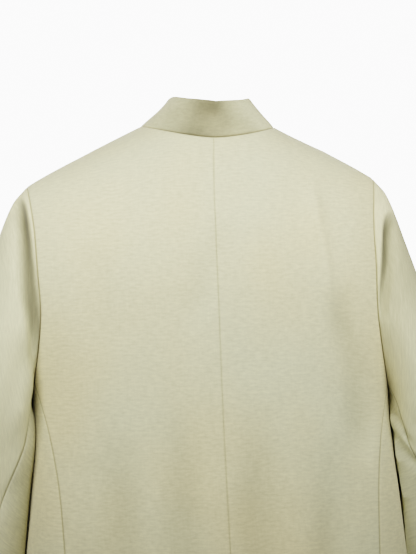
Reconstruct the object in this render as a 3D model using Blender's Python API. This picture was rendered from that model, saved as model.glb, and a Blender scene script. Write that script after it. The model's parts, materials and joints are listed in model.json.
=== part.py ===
"""Stand-collar blazer: back, side, front, sleeve and collar pieces as hollow cloth walls.

Metres, +Z up, the front faces -Y, the wearer's left is +X.
The origin is midway between the two points where the shoulder seams meet the collar.
Every piece is a grid of sections worked out on one common form, thickened inwards into a
closed wall, with shared seam points so that neighbours stay SEAM_GAP apart.
"""
import math

import bpy
import numpy as np

for old in list(bpy.data.objects):
    bpy.data.objects.remove(old, do_unlink=True)

# ------------------------------------------------------------------ driving sizes
WALL = 0.0020            # cloth wall
SEAM_GAP = 0.0003        # between two pieces at a seam
HEM_Z = -0.700           # hem, below the neck points
NECK_HALF = 0.0814       # half width between the neck points
SHOULDER_HALF = 0.2100   # half width between the shoulder points
SHOULDER_DROP = 0.0686   # fall of the shoulder seam
NECK_Y = 0.012           # neck point, behind the middle of the form
BACK_NECK_DROP = 0.0152  # centre-back neck below the neck points
FRONT_NECK_DROP = 0.060  # centre-front neck below the neck points
NECK_CROWN = 0.0221      # crown of the form inside the neck hole
SECTION_POWER = 2.25     # body section, 2 would be an ellipse
LAP = 0.018              # each front past the centre front
LAP_STEP = WALL + 0.0011  # right front stands out by this over the left
LAP_FADE = 0.045         # width over which that step dies out
LAP_DIP = 0.0030         # the lap's top edge lies this much below the neck seam
SWAY = -0.0105           # hem of the body carried to the wearer's right ...
SWAY_TOP = -0.10         # ... from this height down
SWAY_DEPTH = 0.417       # ... reaching SWAY after this depth
SWAY_POWER = 1.6
NECK_TILT = 0.030        # rise of the neck towards the wearer's left
SHOULDER_TILT = {1: 0.003, -1: 0.0235}   # the left shoulder lies lower, the right one higher
MIDDLE_SHIFT = -0.0050   # middle line carried to the wearer's right ...
NECK_SHIFT = -0.0060     # ... and the neck further still
COLLAR_TOP_HALF = 0.0490  # half width of the collar's top edge
COLLAR_TOP_BACK = 0.0760  # its back and ...
COLLAR_TOP_FRONT = -0.0620  # ... front
COLLAR_END_GAP = 0.0008  # each collar end from the centre front
COLLAR_BOW = 0.0022      # hollow of the collar between seam and top edge
BICEP_Z = -0.372         # first full section of the sleeve
SLEEVE_CLEAR = 0.0030    # sleeve off the body
SLEEVE_EASE = 0.0024     # softness of that hold
SLEEVE_BACK_SEAM = 126.0   # degrees round the armhole from the shoulder
SLEEVE_FRONT_SEAM = 236.0
SLEEVE_TURN = {1: -4.5, -1: -4.0}   # back seam turned on each arm (degrees), left and right
BUTTON_R = 0.0100
BUTTON_T = 0.0032
BUTTON_SEGMENTS = 24
BUTTON_GAP = 0.0004

# panels turn over the shoulder above these heights
TURN = {"back": {"z": -0.200, "power": 2.00}, "front": {"z": -0.230, "power": 1.75}}

BODY = {
    "z":          (-0.7000, -0.5174, -0.4500, -0.3995, -0.3350, -0.2000, -0.1000),
    "half_width": (0.2420, 0.2290, 0.2210, 0.2155, 0.2120, 0.2270, 0.2295),
    "back_depth": (0.1220, 0.1190, 0.1180, 0.1170, 0.1165, 0.1180, 0.1180),
    "front_depth": (0.1240, 0.1210, 0.1200, 0.1190, 0.1180, 0.1180, 0.1180),
}
BACK_ARMHOLE = {
    "z": (-0.0686, -0.1150, -0.1727, -0.2227, -0.2620, -0.3030),
    "x": (0.2100, 0.2047, 0.2019, 0.2000, 0.2035, 0.2095),
}
FRONT_ARMHOLE = {
    "z": (-0.0686, -0.1150, -0.1800, -0.2400, -0.3020),
    "x": (0.2100, 0.1960, 0.1880, 0.1890, 0.1995),
}
SIDE_BACK_SEAM = {
    "z": (-0.7000, -0.5090, -0.4140, -0.3530, -0.3030),
    "x": (0.1860, 0.1866, 0.1900, 0.1980, 0.2095),
}
SIDE_FRONT_SEAM = {
    "z": (-0.7000, -0.5000, -0.4000, -0.3020),
    "x": (0.2060, 0.1990, 0.1950, 0.1995),
}
UNDERARM = {"share": (0.0, 0.5, 1.0), "z": (-0.3030, -0.3340, -0.3020)}
# the right side stands out further than the left
RIGHT_OUT = {
    "z":   (-0.7000, -0.5200, -0.4200, -0.3600, -0.3000, -0.2100, -0.1200, -0.0500),
    "out": (0.0030, 0.0065, 0.0130, 0.0130, 0.0110, 0.0055, 0.0010, 0.0045),
}
# and its armhole hangs lower
RIGHT_DROP = {
    "z":    (-0.4600, -0.4000, -0.3400, -0.3000, -0.2600, -0.2000, -0.1500),
    "drop": (0.0000, 0.0045, 0.0105, 0.0120, 0.0080, 0.0015, 0.0000),
}
SLEEVE = {
    "z":          (BICEP_Z, -0.4300, -0.5200, -0.6400),
    "x":          (0.2528, 0.2622, 0.2735, 0.2990),
    "y":          (-0.0340, -0.0430, -0.0560, -0.0800),
    "half_width": (0.0522, 0.0523, 0.0550, 0.0465),
    "half_depth": (0.0760, 0.0670, 0.0570, 0.0455),
    "back_seam":  (123.0, 104.5, 85.5, 80.0),   # degrees round from the outer line
}
# how the sleeve leaves the armhole, round the armhole from the shoulder (degrees)
SLEEVE_HEAD = {
    "round":   (0.0, 45.0, 90.0, 125.0, 180.0, 235.0, 270.0, 315.0, 360.0),
    "outward": (0.42, 0.58, 0.62, 0.30, 0.05, 0.28, 0.58, 0.56, 0.42),
    "pull":    (0.30, 0.38, 0.44, 0.45, 0.45, 0.45, 0.44, 0.38, 0.30),
}
# fullness of the sleeve head: how far it stands out beyond its plain run, by height
SLEEVE_FULL = {
    "z":     (-0.3000, -0.2000, -0.1450, -0.1150, -0.0900, -0.0600),
    "left":  (0.0000, 0.0000, 0.0016, 0.0034, 0.0038, 0.0014),
    "right": (0.0000, 0.0000, 0.0026, 0.0046, 0.0048, 0.0026),
}
SLEEVE_FLAT = {                       # how far the sleeve's back keeps flat towards the body
    "z":     (-0.2350, -0.2600, -0.2900, -0.3300, -0.4400, -0.5500, -0.6900),
    "left":  (0.0000, 0.0050, 0.0105, 0.0140, 0.0160, 0.0140, 0.0050),
    "right": (0.0000, 0.0000, 0.0050, 0.0105, 0.0130, 0.0115, 0.0040),
}
SLEEVE_NEAR = {1: 0.35, -1: 1.9}      # how far that flat leans in against the body, left and right
COLLAR_TOP = {
    "round":  (0.0, 40.0, 75.0, 100.0, 140.0, 180.0),
    "height": (0.0273, 0.0315, 0.0350, 0.0310, 0.0060, -0.0180),
}
# large soft folds of the back: across, height, run (x per metre of fall), width, length, depth
BACK_FOLDS = (
    {"side": 1, "x": 0.100, "z": -0.520, "run": -0.02, "width": 0.030, "length": 0.16, "depth": -0.0030},
    {"side": 1, "x": 0.042, "z": -0.540, "run": 0.03, "width": 0.026, "length": 0.16, "depth": -0.0032},
    {"side": -1, "x": 0.052, "z": -0.520, "run": -0.06, "width": 0.030, "length": 0.18, "depth": -0.0036},
    {"side": -1, "x": 0.128, "z": -0.420, "run": 0.16, "width": 0.026, "length": 0.16, "depth": -0.0038},
    {"side": -1, "x": 0.104, "z": -0.260, "run": 0.18, "width": 0.020, "length": 0.10, "depth": 0.0026},
)
BUTTONS = {"z": (-0.110, -0.215, -0.320, -0.425)}

# segments along each edge
N_NECK_BACK, N_NECK_FRONT, N_SHOULDER, N_LAP = 4, 6, 6, 2
N_SIDE_SEAM, N_BACK_ARM, N_FRONT_ARM, N_UNDER = 11, 7, 7, 6
N_HEAD, N_SLEEVE, N_COLLAR = 6, 9, 4

CLOTH = (0.560, 0.535, 0.405, 1.0)
BUTTON_COLOUR = (0.420, 0.385, 0.270, 1.0)


# ------------------------------------------------------------------ small helpers
def curve(table, key, at="z"):
    """Smooth curve through one named column of a table."""
    xs, ys = np.array(table[at], float), np.array(table[key], float)
    order = np.argsort(xs)
    xs, ys = xs[order], ys[order]
    step = np.diff(xs)
    slope = np.diff(ys) / step
    m = np.empty_like(xs)
    m[0], m[-1] = slope[0], slope[-1]
    m[1:-1] = (step[:-1] * slope[1:] + step[1:] * slope[:-1]) / (step[:-1] + step[1:])

    def value(x):
        x = np.clip(np.asarray(x, float), xs[0], xs[-1])
        i = np.clip(np.searchsorted(xs, x) - 1, 0, len(step) - 1)
        t = (x - xs[i]) / step[i]
        return ((2 * t ** 3 - 3 * t ** 2 + 1) * ys[i] + (t ** 3 - 2 * t ** 2 + t) * step[i] * m[i]
                + (3 * t ** 2 - 2 * t ** 3) * ys[i + 1] + (t ** 3 - t ** 2) * step[i] * m[i + 1])

    return value


def smooth(t):
    t = np.clip(t, 0.0, 1.0)
    return t * t * (3 - 2 * t)


def unit(v):
    return v / np.maximum(np.linalg.norm(v, axis=-1, keepdims=True), 1e-12)


half_width = curve(BODY, "half_width")
depth = {"back": curve(BODY, "back_depth"), "front": curve(BODY, "front_depth")}
FACE = {"back": 1.0, "front": -1.0}


# ------------------------------------------------------------------ the common form
def ridge_z(x):
    """Height of the shoulder line, and of the crown inside the neck."""
    ax = np.abs(x)
    t = (ax - NECK_HALF) / (SHOULDER_HALF - NECK_HALF)
    out = -SHOULDER_DROP * (0.96 * t - 0.10 * t ** 2 + 0.14 * t ** 3)
    return np.where(ax > NECK_HALF, out, NECK_CROWN * (1 - (ax / NECK_HALF) ** 2))


def ridge_y(x):
    t = np.clip((np.abs(x) - NECK_HALF) / (SHOULDER_HALF - NECK_HALF), 0, 1)
    return NECK_Y * (1 - t)


def section_y(x, z, face):
    """Depth of the body's section at x, on one face."""
    r = np.clip(np.abs(x) / half_width(z), 0, 1)
    return FACE[face] * depth[face](z) * (1 - r ** SECTION_POWER) ** (1 / SECTION_POWER)


def section_x(y, z):
    """Half width of the body's section at y."""
    d = np.where(y > 0, depth["back"](z), depth["front"](z))
    r = np.clip(np.abs(y) / d, 0, 1)
    return half_width(z) * (1 - r ** SECTION_POWER) ** (1 / SECTION_POWER)


def rise_of(x, z, face):
    """Distance up the face (0 where it starts to turn over) for a height."""
    z0 = TURN[face]["z"]
    span = ridge_z(x) - z0
    h = np.clip((z - z0) / span, -1, 1)
    return np.where(z <= z0, z - z0, span * np.arcsin(h))


def on_face(x, rise, face):
    z0, p = TURN[face]["z"], TURN[face]["power"]
    span = ridge_z(x) - z0
    turn = np.clip(rise / span, 0, math.pi / 2)
    z = np.where(rise <= 0, z0 + rise, z0 + span * np.sin(turn))
    h = np.sin(turn)
    keep = np.clip(1 - h ** p, 0, 1) ** (1 / p)
    yr = ridge_y(x)
    y = yr + (section_y(x, z, face) - yr) * keep
    return np.stack([x + 0 * y, y, z], axis=-1)


def by_length(x, rise, face, n):
    """n equal steps along a curve given densely on a face."""
    p = on_face(x, rise, face)
    s = np.concatenate([[0], np.cumsum(np.linalg.norm(np.diff(p, axis=0), axis=1))])
    at = np.linspace(0, s[-1], n + 1)
    return np.interp(at, s, x), np.interp(at, s, rise)


DENSE = np.linspace(0, 1, 801)


def neck_curve(face, n):
    """From the middle of the neck to the neck point."""
    if face == "back":
        x = NECK_HALF * np.sin(DENSE * math.pi / 2)
        z = -BACK_NECK_DROP * (1 - (x / NECK_HALF) ** 1.6)
    else:
        x = NECK_HALF * np.sin(DENSE * math.pi / 2)
        z = -FRONT_NECK_DROP * np.cos(DENSE * math.pi / 2)
    rise = rise_of(x, z, face)
    rise[-1] = (ridge_z(x[-1]) - TURN[face]["z"]) * math.pi / 2
    return by_length(x, rise, face, n)


def shoulder_curve(face, n):
    x = np.linspace(NECK_HALF, SHOULDER_HALF, n + 1)
    return x, (ridge_z(x) - TURN[face]["z"]) * math.pi / 2


def edge_curve(table, face, n):
    """Up a seam given as x by height, in equal steps."""
    zs = np.array(table["z"])
    z = zs.min() + (zs.max() - zs.min()) * np.sin(DENSE * math.pi / 2) if zs.max() > -0.1 \
        else np.linspace(zs.min(), zs.max(), len(DENSE))
    x = curve(table, "x")(z)
    rise = rise_of(x, z, face)
    if zs.max() > -0.1:
        x[-1] = SHOULDER_HALF
        rise[-1] = (ridge_z(SHOULDER_HALF) - TURN[face]["z"]) * math.pi / 2
    return by_length(x, rise, face, n)


def join(a, b):
    return tuple(np.concatenate([p, q[1:]]) for p, q in zip(a, b))


def coons(left, right, bottom, top):
    """Fill the inside of four edges, each a pair of arrays (x, rise)."""
    t = np.linspace(0, 1, len(left[0]))[:, None]
    s = np.linspace(0, 1, len(bottom[0]))[None, :]
    out = []
    for k in (0, 1):
        L, R, B, T = (np.asarray(e[k]) for e in (left, right, bottom, top))
        out.append((1 - s) * L[:, None] + s * R[:, None] + (1 - t) * B[None, :] + t * T[None, :]
                   - ((1 - s) * (1 - t) * B[0] + s * (1 - t) * B[-1]
                      + (1 - s) * t * T[0] + s * t * T[-1]))
    return out


def warp(p):
    """The whole garment's lean: hem swayed to one side, neck a little tilted."""
    p = np.array(p, float)
    x, z = p[..., 0].copy(), p[..., 2].copy()
    fall = np.clip((SWAY_TOP - z) / SWAY_DEPTH, 0, None)
    lift = np.clip((z + 0.09) / 0.09, 0, 1.2) ** 1.5
    near = np.clip(1 - (x / 0.15) ** 2, 0, 1)
    high = smooth((z + 0.30) / 0.18)
    tilt = np.where(x > 0, SHOULDER_TILT[1], SHOULDER_TILT[-1])
    p[..., 2] += x * (NECK_TILT * lift * near - tilt * high * (1 - near))
    p[..., 0] += SWAY * fall ** SWAY_POWER
    p[..., 0] += (MIDDLE_SHIFT + NECK_SHIFT * lift) * np.clip(1 - (x / 0.20) ** 2, 0, 1)
    p[..., 0] -= curve(RIGHT_OUT, "out")(z) * smooth((-x - 0.15) / 0.08)
    p[..., 2] -= curve(RIGHT_DROP, "drop")(z) * smooth((-x - 0.13) / 0.07)
    return p


def mirrored(p, side):
    p = np.array(p, float)
    p[..., 0] *= side
    return p


# ------------------------------------------------------------------ body panels
def fold_depth(x, z, side):
    """Depth of the large back folds at a place on one side of the back."""
    total = np.zeros_like(x)
    for f in BACK_FOLDS:
        middle = side * f["side"] * (f["x"] + f["run"] * (f["z"] - z))
        across = (x - middle) / f["width"]
        along = (z - f["z"]) / f["length"]
        total = total + f["depth"] * np.exp(-across ** 2 - along ** 2)
    return total


def face_normals(point, x, rise, side):
    """Outward normals of a front or back from its own form, not from the grid."""
    e = 2e-4
    across = warp(mirrored(point(x + e, rise), side)) - warp(mirrored(point(x - e, rise), side))
    up = warp(mirrored(point(x, rise), side)) - warp(mirrored(point(x, rise - e), side))
    return unit(np.cross(across, up))


def back_edges():
    side = join(edge_curve(SIDE_BACK_SEAM, "back", N_SIDE_SEAM), edge_curve(BACK_ARMHOLE, "back", N_BACK_ARM))
    top = join(neck_curve("back", N_NECK_BACK), shoulder_curve("back", N_SHOULDER))
    r = np.interp(np.linspace(0, 1, len(side[0])), np.linspace(0, 1, len(side[0])),
                  (side[1] - side[1][0]) / (side[1][-1] - side[1][0]))
    left = (np.zeros(len(side[0])), side[1][0] + r * (top[1][0] - side[1][0]))
    bottom = (np.linspace(0, side[0][0], len(top[0])), np.full(len(top[0]), side[1][0]))
    return left, side, bottom, top


def back_grid(side):
    x, rise = coons(*back_edges())
    p = on_face(x, rise, "back")
    push = fold_depth(p[..., 0], p[..., 2], side)
    keep = smooth((np.abs(p[..., 0])[:, :]) / 0.012) * smooth((p[:, -1:, 0] - p[..., 0]) / 0.03)
    p[..., 1] += push * keep
    n = face_normals(lambda u, v: on_face(u, v, "back"), x, rise, side)
    return warp(mirrored(p, side)), n


def lap_step(x, side):
    return (LAP_STEP * (1 - smooth((x - LAP - 0.004) / LAP_FADE))) if side < 0 else 0 * x


def front_point(x, rise, side):
    """On a front: the right one stands out over the left where they lap."""
    p = on_face(x, rise, "front")
    if side < 0:
        e = 1e-4
        up = on_face(x, rise + e, "front") - on_face(x, rise - e, "front")
        across = on_face(x + e, rise, "front") - on_face(x - e, rise, "front")
        n = unit(np.cross(across, up))
        n = np.where(n[..., 1:2] > 0, -n, n)
        p = p + n * lap_step(x, side)[..., None]
    return p


def front_edges():
    side = join(edge_curve(SIDE_FRONT_SEAM, "front", N_SIDE_SEAM), edge_curve(FRONT_ARMHOLE, "front", N_FRONT_ARM))
    nx, nr = neck_curve("front", N_NECK_FRONT)
    top = join((nx, nr), shoulder_curve("front", N_SHOULDER))
    lap_x = np.linspace(-LAP, 0, N_LAP + 1)
    lap_z = -FRONT_NECK_DROP * np.sqrt(1 - (lap_x / NECK_HALF) ** 2) - LAP_DIP * smooth(-lap_x / 0.008)
    top = join((lap_x, rise_of(lap_x, lap_z, "front")), top)
    r = (side[1] - side[1][0]) / (side[1][-1] - side[1][0])
    left = (np.full(len(side[0]), -LAP), side[1][0] + r * (top[1][0] - side[1][0]))
    share = (top[0] - top[0][0]) / (top[0][-1] - top[0][0])
    bottom = (-LAP + share * (side[0][0] + LAP), np.full(len(top[0]), side[1][0]))
    return left, side, bottom, top


def front_grid(side):
    x, rise = coons(*front_edges())
    n = face_normals(lambda u, v: front_point(u, v, side), x, rise, side)
    return warp(mirrored(front_point(x, rise, side), side)), n


def side_grid(side):
    """From the side-back seam round to the side-front seam, hem to underarm."""
    bx, br = edge_curve(SIDE_BACK_SEAM, "back", N_SIDE_SEAM)
    fx, fr = edge_curve(SIDE_FRONT_SEAM, "front", N_SIDE_SEAM)
    pb, pf = on_face(bx, br, "back"), on_face(fx, fr, "front")
    s = np.linspace(0, 1, N_UNDER + 1)
    top = curve(UNDERARM, "z", "share")
    dip = top(s) - (UNDERARM["z"][0] * (1 - s) + UNDERARM["z"][-1] * s)
    grid = np.zeros((N_SIDE_SEAM + 1, N_UNDER + 1, 3))
    for i in range(N_SIDE_SEAM + 1):
        t = i / N_SIDE_SEAM
        for j, u in enumerate(s):
            z = pb[i, 2] * (1 - u) + pf[i, 2] * u + dip[j] * smooth((t - 0.35) / 0.65)
            y = pb[i, 1] * (1 - u) + pf[i, 1] * u
            grid[i, j] = (float(section_x(y, z)), y, z)
        grid[i, 0], grid[i, -1] = pb[i], pf[i]
    grid = warp(mirrored(grid, side))
    return grid, grid_normals(grid)


def side_top():
    """The underarm edge in its own, unwarped place."""
    pb = on_face(*edge_curve(SIDE_BACK_SEAM, "back", N_SIDE_SEAM), "back")[-1]
    pf = on_face(*edge_curve(SIDE_FRONT_SEAM, "front", N_SIDE_SEAM), "front")[-1]
    s = np.linspace(0, 1, N_UNDER + 1)
    z = curve(UNDERARM, "z", "share")(s)
    y = pb[1] * (1 - s) + pf[1] * s
    p = np.stack([section_x(y, z), y, z], axis=-1)
    p[0], p[-1] = pb, pf
    return p


# ------------------------------------------------------------------ sleeves
def axis_at(z):
    return np.array([float(curve(SLEEVE, k)(z)) for k in ("x", "y")] + [float(z)])


def ring(z, turn):
    """Points of one sleeve section at angles from its outer line, back first."""
    c = axis_at(z)
    d = unit(axis_at(z - 0.01) - axis_at(z + 0.01) if SLEEVE["z"][-1] + 0.01 < z < SLEEVE["z"][0] - 0.01
             else (axis_at(z - 0.02) - c if z > -0.5 else c - axis_at(z + 0.02)))
    e1 = unit(np.array([1.0, 0, 0]) - d[0] * d)
    e2 = np.cross(d, e1)
    e2 = e2 if e2[1] > 0 else -e2
    a = np.radians(np.asarray(turn))
    hw, hd = float(curve(SLEEVE, "half_width")(z)), float(curve(SLEEVE, "half_depth")(z))
    return c + hw * np.cos(a)[:, None] * e1 + hd * np.sin(a)[:, None] * e2, d


def off_body(p, below):
    """Hold the sleeve just clear of the body's side, more so further below the armhole."""
    least = section_x(p[..., 1], p[..., 2]) + SLEEVE_CLEAR * smooth(below / 0.03)
    k = SLEEVE_EASE
    gap = p[..., 0] - least
    p = p.copy()
    p[..., 0] = np.where(below > 0, least + 0.5 * (gap + np.sqrt(gap ** 2 + k ** 2 * smooth(below / 0.03))), p[..., 0])
    return p


def turn_at(turn, z, side):
    """Angles round the sleeve at one height, where its back seam has moved round the arm."""
    seam = float(curve(SLEEVE, "back_seam")(z)) + SLEEVE_TURN[side]
    return np.interp(turn, (0.0, SLEEVE_BACK_SEAM, SLEEVE_FRONT_SEAM, 360.0), (0.0, seam, SLEEVE_FRONT_SEAM, 360.0))


def fullness(p, down, turn, side):
    """Stand the sleeve head out, most on the shoulder line and not at all at the armhole."""
    over = smooth(1 - np.minimum(turn, 360 - turn) / SLEEVE_BACK_SEAM)
    p = p.copy()
    p[..., 0] += curve(SLEEVE_FULL, "left" if side > 0 else "right")(p[..., 2]) * over * smooth(down / 0.022)
    flat = curve(SLEEVE_FLAT, "left" if side > 0 else "right")(p[..., 2]) * smooth(down / 0.050)
    p[..., 1] += flat * smooth((turn - 85) / 60) * (1 - smooth((turn - 170) / 55))
    lean = SLEEVE_NEAR[1] + (SLEEVE_NEAR[side] - SLEEVE_NEAR[1]) * smooth((-0.325 - p[..., 2]) / 0.05)
    p[..., 0] -= lean * flat * smooth((turn - 136) / 26) * (1 - smooth((turn - 184) / 40))
    return p


def sleeve_sheet(start, turn, side):
    """Sleeve piece from its armhole points to the cuff."""
    bicep, d = ring(BICEP_Z, turn_at(turn, BICEP_Z, side))
    head = {k: curve(SLEEVE_HEAD, k, "round") for k in ("outward", "pull")}
    rows = []
    span = np.linalg.norm(bicep - start, axis=1, keepdims=True)
    o = head["outward"](turn)[:, None]
    pull = head["pull"](turn)[:, None]
    swing = np.stack([np.ones(len(turn)), 0.30 * np.sin(np.radians(turn)), -0.25 + 0 * turn], axis=1)
    t0 = unit(o * unit(swing) + (1 - o) * d) * span * pull * 2
    t1 = unit(ring(BICEP_Z - 0.012, turn_at(turn, BICEP_Z - 0.012, side))[0] - bicep) * span
    for i in range(N_HEAD + 1):
        t = i / N_HEAD
        rows.append((2 * t ** 3 - 3 * t ** 2 + 1) * start + (t ** 3 - 2 * t ** 2 + t) * t0
                    + (3 * t ** 2 - 2 * t ** 3) * bicep + (t ** 3 - t ** 2) * t1)
    for i in range(1, N_SLEEVE + 1):
        z = BICEP_Z + (SLEEVE["z"][-1] - BICEP_Z) * i / N_SLEEVE
        rows.append(ring(z, turn_at(turn, z, side))[0])
    p = np.array(rows)
    down = np.concatenate([[0 * p[0, :, 0]], np.cumsum(np.linalg.norm(np.diff(p, axis=0), axis=2), axis=0)])
    low = smooth((-0.285 - p[..., 2]) / 0.04)
    p = off_body(fullness(p, down, turn, side), down * low)
    p[0] = start
    return warp(mirrored(p, side))


def sleeve_top(side):
    back = on_face(*edge_curve(BACK_ARMHOLE, "back", N_BACK_ARM), "back")
    front = on_face(*edge_curve(FRONT_ARMHOLE, "front", N_FRONT_ARM), "front")
    start = np.concatenate([back, front[::-1][1:]])
    turn = np.concatenate([np.linspace(SLEEVE_BACK_SEAM, 0, N_BACK_ARM + 1),
                           np.linspace(360, SLEEVE_FRONT_SEAM, N_FRONT_ARM + 1)[1:]])
    return sleeve_sheet(start, turn, side)


def sleeve_under(side):
    return sleeve_sheet(side_top(), np.linspace(SLEEVE_BACK_SEAM, SLEEVE_FRONT_SEAM, N_UNDER + 1), side)


# ------------------------------------------------------------------ collar
def collar_grid():
    """From the right end round the back to the left end, seam to top edge."""
    halves = []
    for side in (-1, 1):
        back = on_face(*neck_curve("back", N_NECK_BACK), "back")
        front = front_point(*neck_curve("front", N_NECK_FRONT), side)
        base = np.concatenate([back, front[::-1][1:]])
        s = np.concatenate([[0], np.cumsum(np.linalg.norm(np.diff(base, axis=0), axis=1))])
        turn = 180 * s / s[-1]
        a = np.radians(turn)
        mid, half = (COLLAR_TOP_BACK + COLLAR_TOP_FRONT) / 2, (COLLAR_TOP_BACK - COLLAR_TOP_FRONT) / 2
        top = np.stack([COLLAR_TOP_HALF * np.sin(a), mid + half * np.cos(a),
                        curve(COLLAR_TOP, "height", "round")(turn)], axis=1)
        top[-1, 1] -= float(lap_step(np.zeros(1), side)[0])
        out = unit(np.stack([np.sin(a), np.cos(a), 0 * a], axis=1))
        rows = []
        for i in range(N_COLLAR + 1):
            t = i / N_COLLAR
            p = base * (1 - t) + top * t - out * COLLAR_BOW * 4 * t * (1 - t) * np.sin(a)[:, None] ** 2
            p[-1, 0] = COLLAR_END_GAP * smooth(t * 4) + 0 * p[-1, 0]
            rows.append(p)
        halves.append(mirrored(np.array(rows), side))
    right, left = halves
    return warp(np.concatenate([right[:, ::-1], left[:, 1:]], axis=1))


# ------------------------------------------------------------------ closed walls
def grid_normals(g):
    du = np.gradient(g, axis=1)
    dv = np.gradient(g, axis=0)
    return unit(np.cross(du, dv))


def outward(g, middle):
    """Grid normals turned to face away from the piece's middle line."""
    n = grid_normals(g)
    if np.sum(n * (g - middle)) < 0:
        n = -n
    return n


def rim(shape):
    """Index loop round a grid's edge."""
    h, w = shape
    return ([(0, j) for j in range(w)] + [(i, w - 1) for i in range(1, h)]
            + [(h - 1, j) for j in range(w - 2, -1, -1)] + [(i, 0) for i in range(h - 2, 0, -1)])


def edge_dirs(g, n):
    """For each of a grid's four edges: its points, their directions along it and into the piece."""
    h, w = g.shape[:2]
    edges = []
    for at, inner in (((0, slice(None)), (1, slice(None))), ((h - 1, slice(None)), (h - 2, slice(None))),
                      ((slice(None), 0), (slice(None), 1)), ((slice(None), w - 1), (slice(None), w - 2))):
        line = g[at]
        along = unit(np.gradient(line, axis=0))
        into = unit(np.cross(n[at], along))
        if np.sum(into * (g[inner] - line)) < 0:
            into = -into
        edges.append((along, into))
    return edges


def key(p):
    return tuple(np.round(p * 1e5).astype(int))


def make_walls(pieces):
    """pieces: name -> (grid, outward normals). Returns name -> (outer grid, inner grid, flip)."""
    shared = {}
    for g, n in pieces.values():
        for i, j in rim(g.shape[:2]):
            shared.setdefault(key(g[i, j]), []).append(n[i, j])
    mitre = {}
    for q, ns in shared.items():
        a = np.array(ns)
        v = np.linalg.solve(a.T @ a + 0.15 * np.eye(3), a.T @ np.full(len(a), -1.0))
        v = v / max(-np.mean(a @ v), 1e-6)
        mitre[q] = v * min(1.0, 1.9 / np.linalg.norm(v)) * WALL
    walls = {}
    for name, (g, n) in pieces.items():
        h, w = g.shape[:2]
        outer, inner = g.copy(), g - n * WALL
        bottom, top, left, right = edge_dirs(g, n)
        for i, j in rim((h, w)):
            move = np.zeros(3)
            for on, edge, k in ((i == 0, bottom, j), (i == h - 1, top, j), (j == 0, left, i), (j == w - 1, right, i)):
                if on:
                    along, into = edge[0][k], edge[1][k]
                    across = unit(np.cross(along, mitre[key(g[i, j])]))
                    move += into * (SEAM_GAP / 2) / max(abs(float(across @ into)), 0.16)
            outer[i, j] = g[i, j] + move
            inner[i, j] = g[i, j] + move + mitre[key(g[i, j])]
        walls[name] = (outer, inner, np.sum(grid_normals(g) * n) < 0)
    return walls


def principled(name, colour, roughness):
    mat = bpy.data.materials.new(name)
    mat.use_nodes = True
    node = mat.node_tree.nodes["Principled BSDF"]
    node.inputs["Base Color"].default_value = colour
    node.inputs["Roughness"].default_value = roughness
    node.inputs["Metallic"].default_value = 0.0
    return mat


def add_object(name, verts, faces, colour, roughness):
    mesh = bpy.data.meshes.new(name)
    mesh.from_pydata([tuple(map(float, v)) for v in verts], [], faces)
    mesh.validate()
    mesh.update()
    ob = bpy.data.objects.new(name, mesh)
    bpy.context.scene.collection.objects.link(ob)
    ob.data.materials.append(principled(name, colour, roughness))
    return ob


def add_wall(name, outer, inner, flip):
    h, w = outer.shape[:2]
    verts = np.concatenate([outer.reshape(-1, 3), inner.reshape(-1, 3)])
    half = h * w

    def at(i, j, layer=0):
        return layer * half + i * w + j

    faces = []
    for i in range(h - 1):
        for j in range(w - 1):
            quad = (at(i, j), at(i, j + 1), at(i + 1, j + 1), at(i + 1, j))
            back = tuple(q + half for q in reversed(quad))
            # both layers are cut along the same diagonal
            short = (np.linalg.norm(outer[i, j] - outer[i + 1, j + 1])
                     <= np.linalg.norm(outer[i, j + 1] - outer[i + 1, j]))
            a, b, c, d = quad
            cut = ((a, b, c), (a, c, d)) if short else ((a, b, d), (b, c, d))
            faces += list(cut)
            faces += [tuple(q + half for q in reversed(t)) for t in cut]
    loop = rim((h, w))
    for (i0, j0), (i1, j1) in zip(loop, loop[1:] + loop[:1]):
        a, b, c, d = at(i1, j1), at(i0, j0), at(i0, j0, 1), at(i1, j1, 1)
        faces += [(a, b, c), (a, c, d)]
    if flip:
        faces = [tuple(reversed(f)) for f in faces]
    return add_object(name, verts, faces, CLOTH, 0.85)


def add_button(name, centre, normal):
    """A plain turned button: flat back, rounded rim, dished face."""
    profile = ((0.0, 0.0), (BUTTON_R * 0.94, 0.0), (BUTTON_R, BUTTON_T * 0.30), (BUTTON_R, BUTTON_T * 0.68),
               (BUTTON_R * 0.90, BUTTON_T), (BUTTON_R * 0.76, BUTTON_T * 0.96), (BUTTON_R * 0.66, BUTTON_T * 0.72),
               (0.0, BUTTON_T * 0.68))
    z = unit(np.asarray(normal))
    x = unit(np.cross([0.0, 0.0, 1.0], z))
    y = np.cross(z, x)
    verts, faces, rings = [], [], []
    for r, t in profile:
        if r == 0:
            rings.append([len(verts)])
            verts.append(centre + z * t)
            continue
        first = len(verts)
        for k in range(BUTTON_SEGMENTS):
            a = 2 * math.pi * k / BUTTON_SEGMENTS
            verts.append(centre + z * t + r * (x * math.cos(a) + y * math.sin(a)))
        rings.append(list(range(first, first + BUTTON_SEGMENTS)))
    for lower, upper in zip(rings, rings[1:]):
        for k in range(BUTTON_SEGMENTS):
            m = (k + 1) % BUTTON_SEGMENTS
            if len(lower) == 1:
                faces.append((lower[0], upper[m], upper[k]))
            elif len(upper) == 1:
                faces.append((lower[k], lower[m], upper[0]))
            else:
                faces.append((lower[k], lower[m], upper[m], upper[k]))
    return add_object(name, verts, faces, BUTTON_COLOUR, 0.45)


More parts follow.
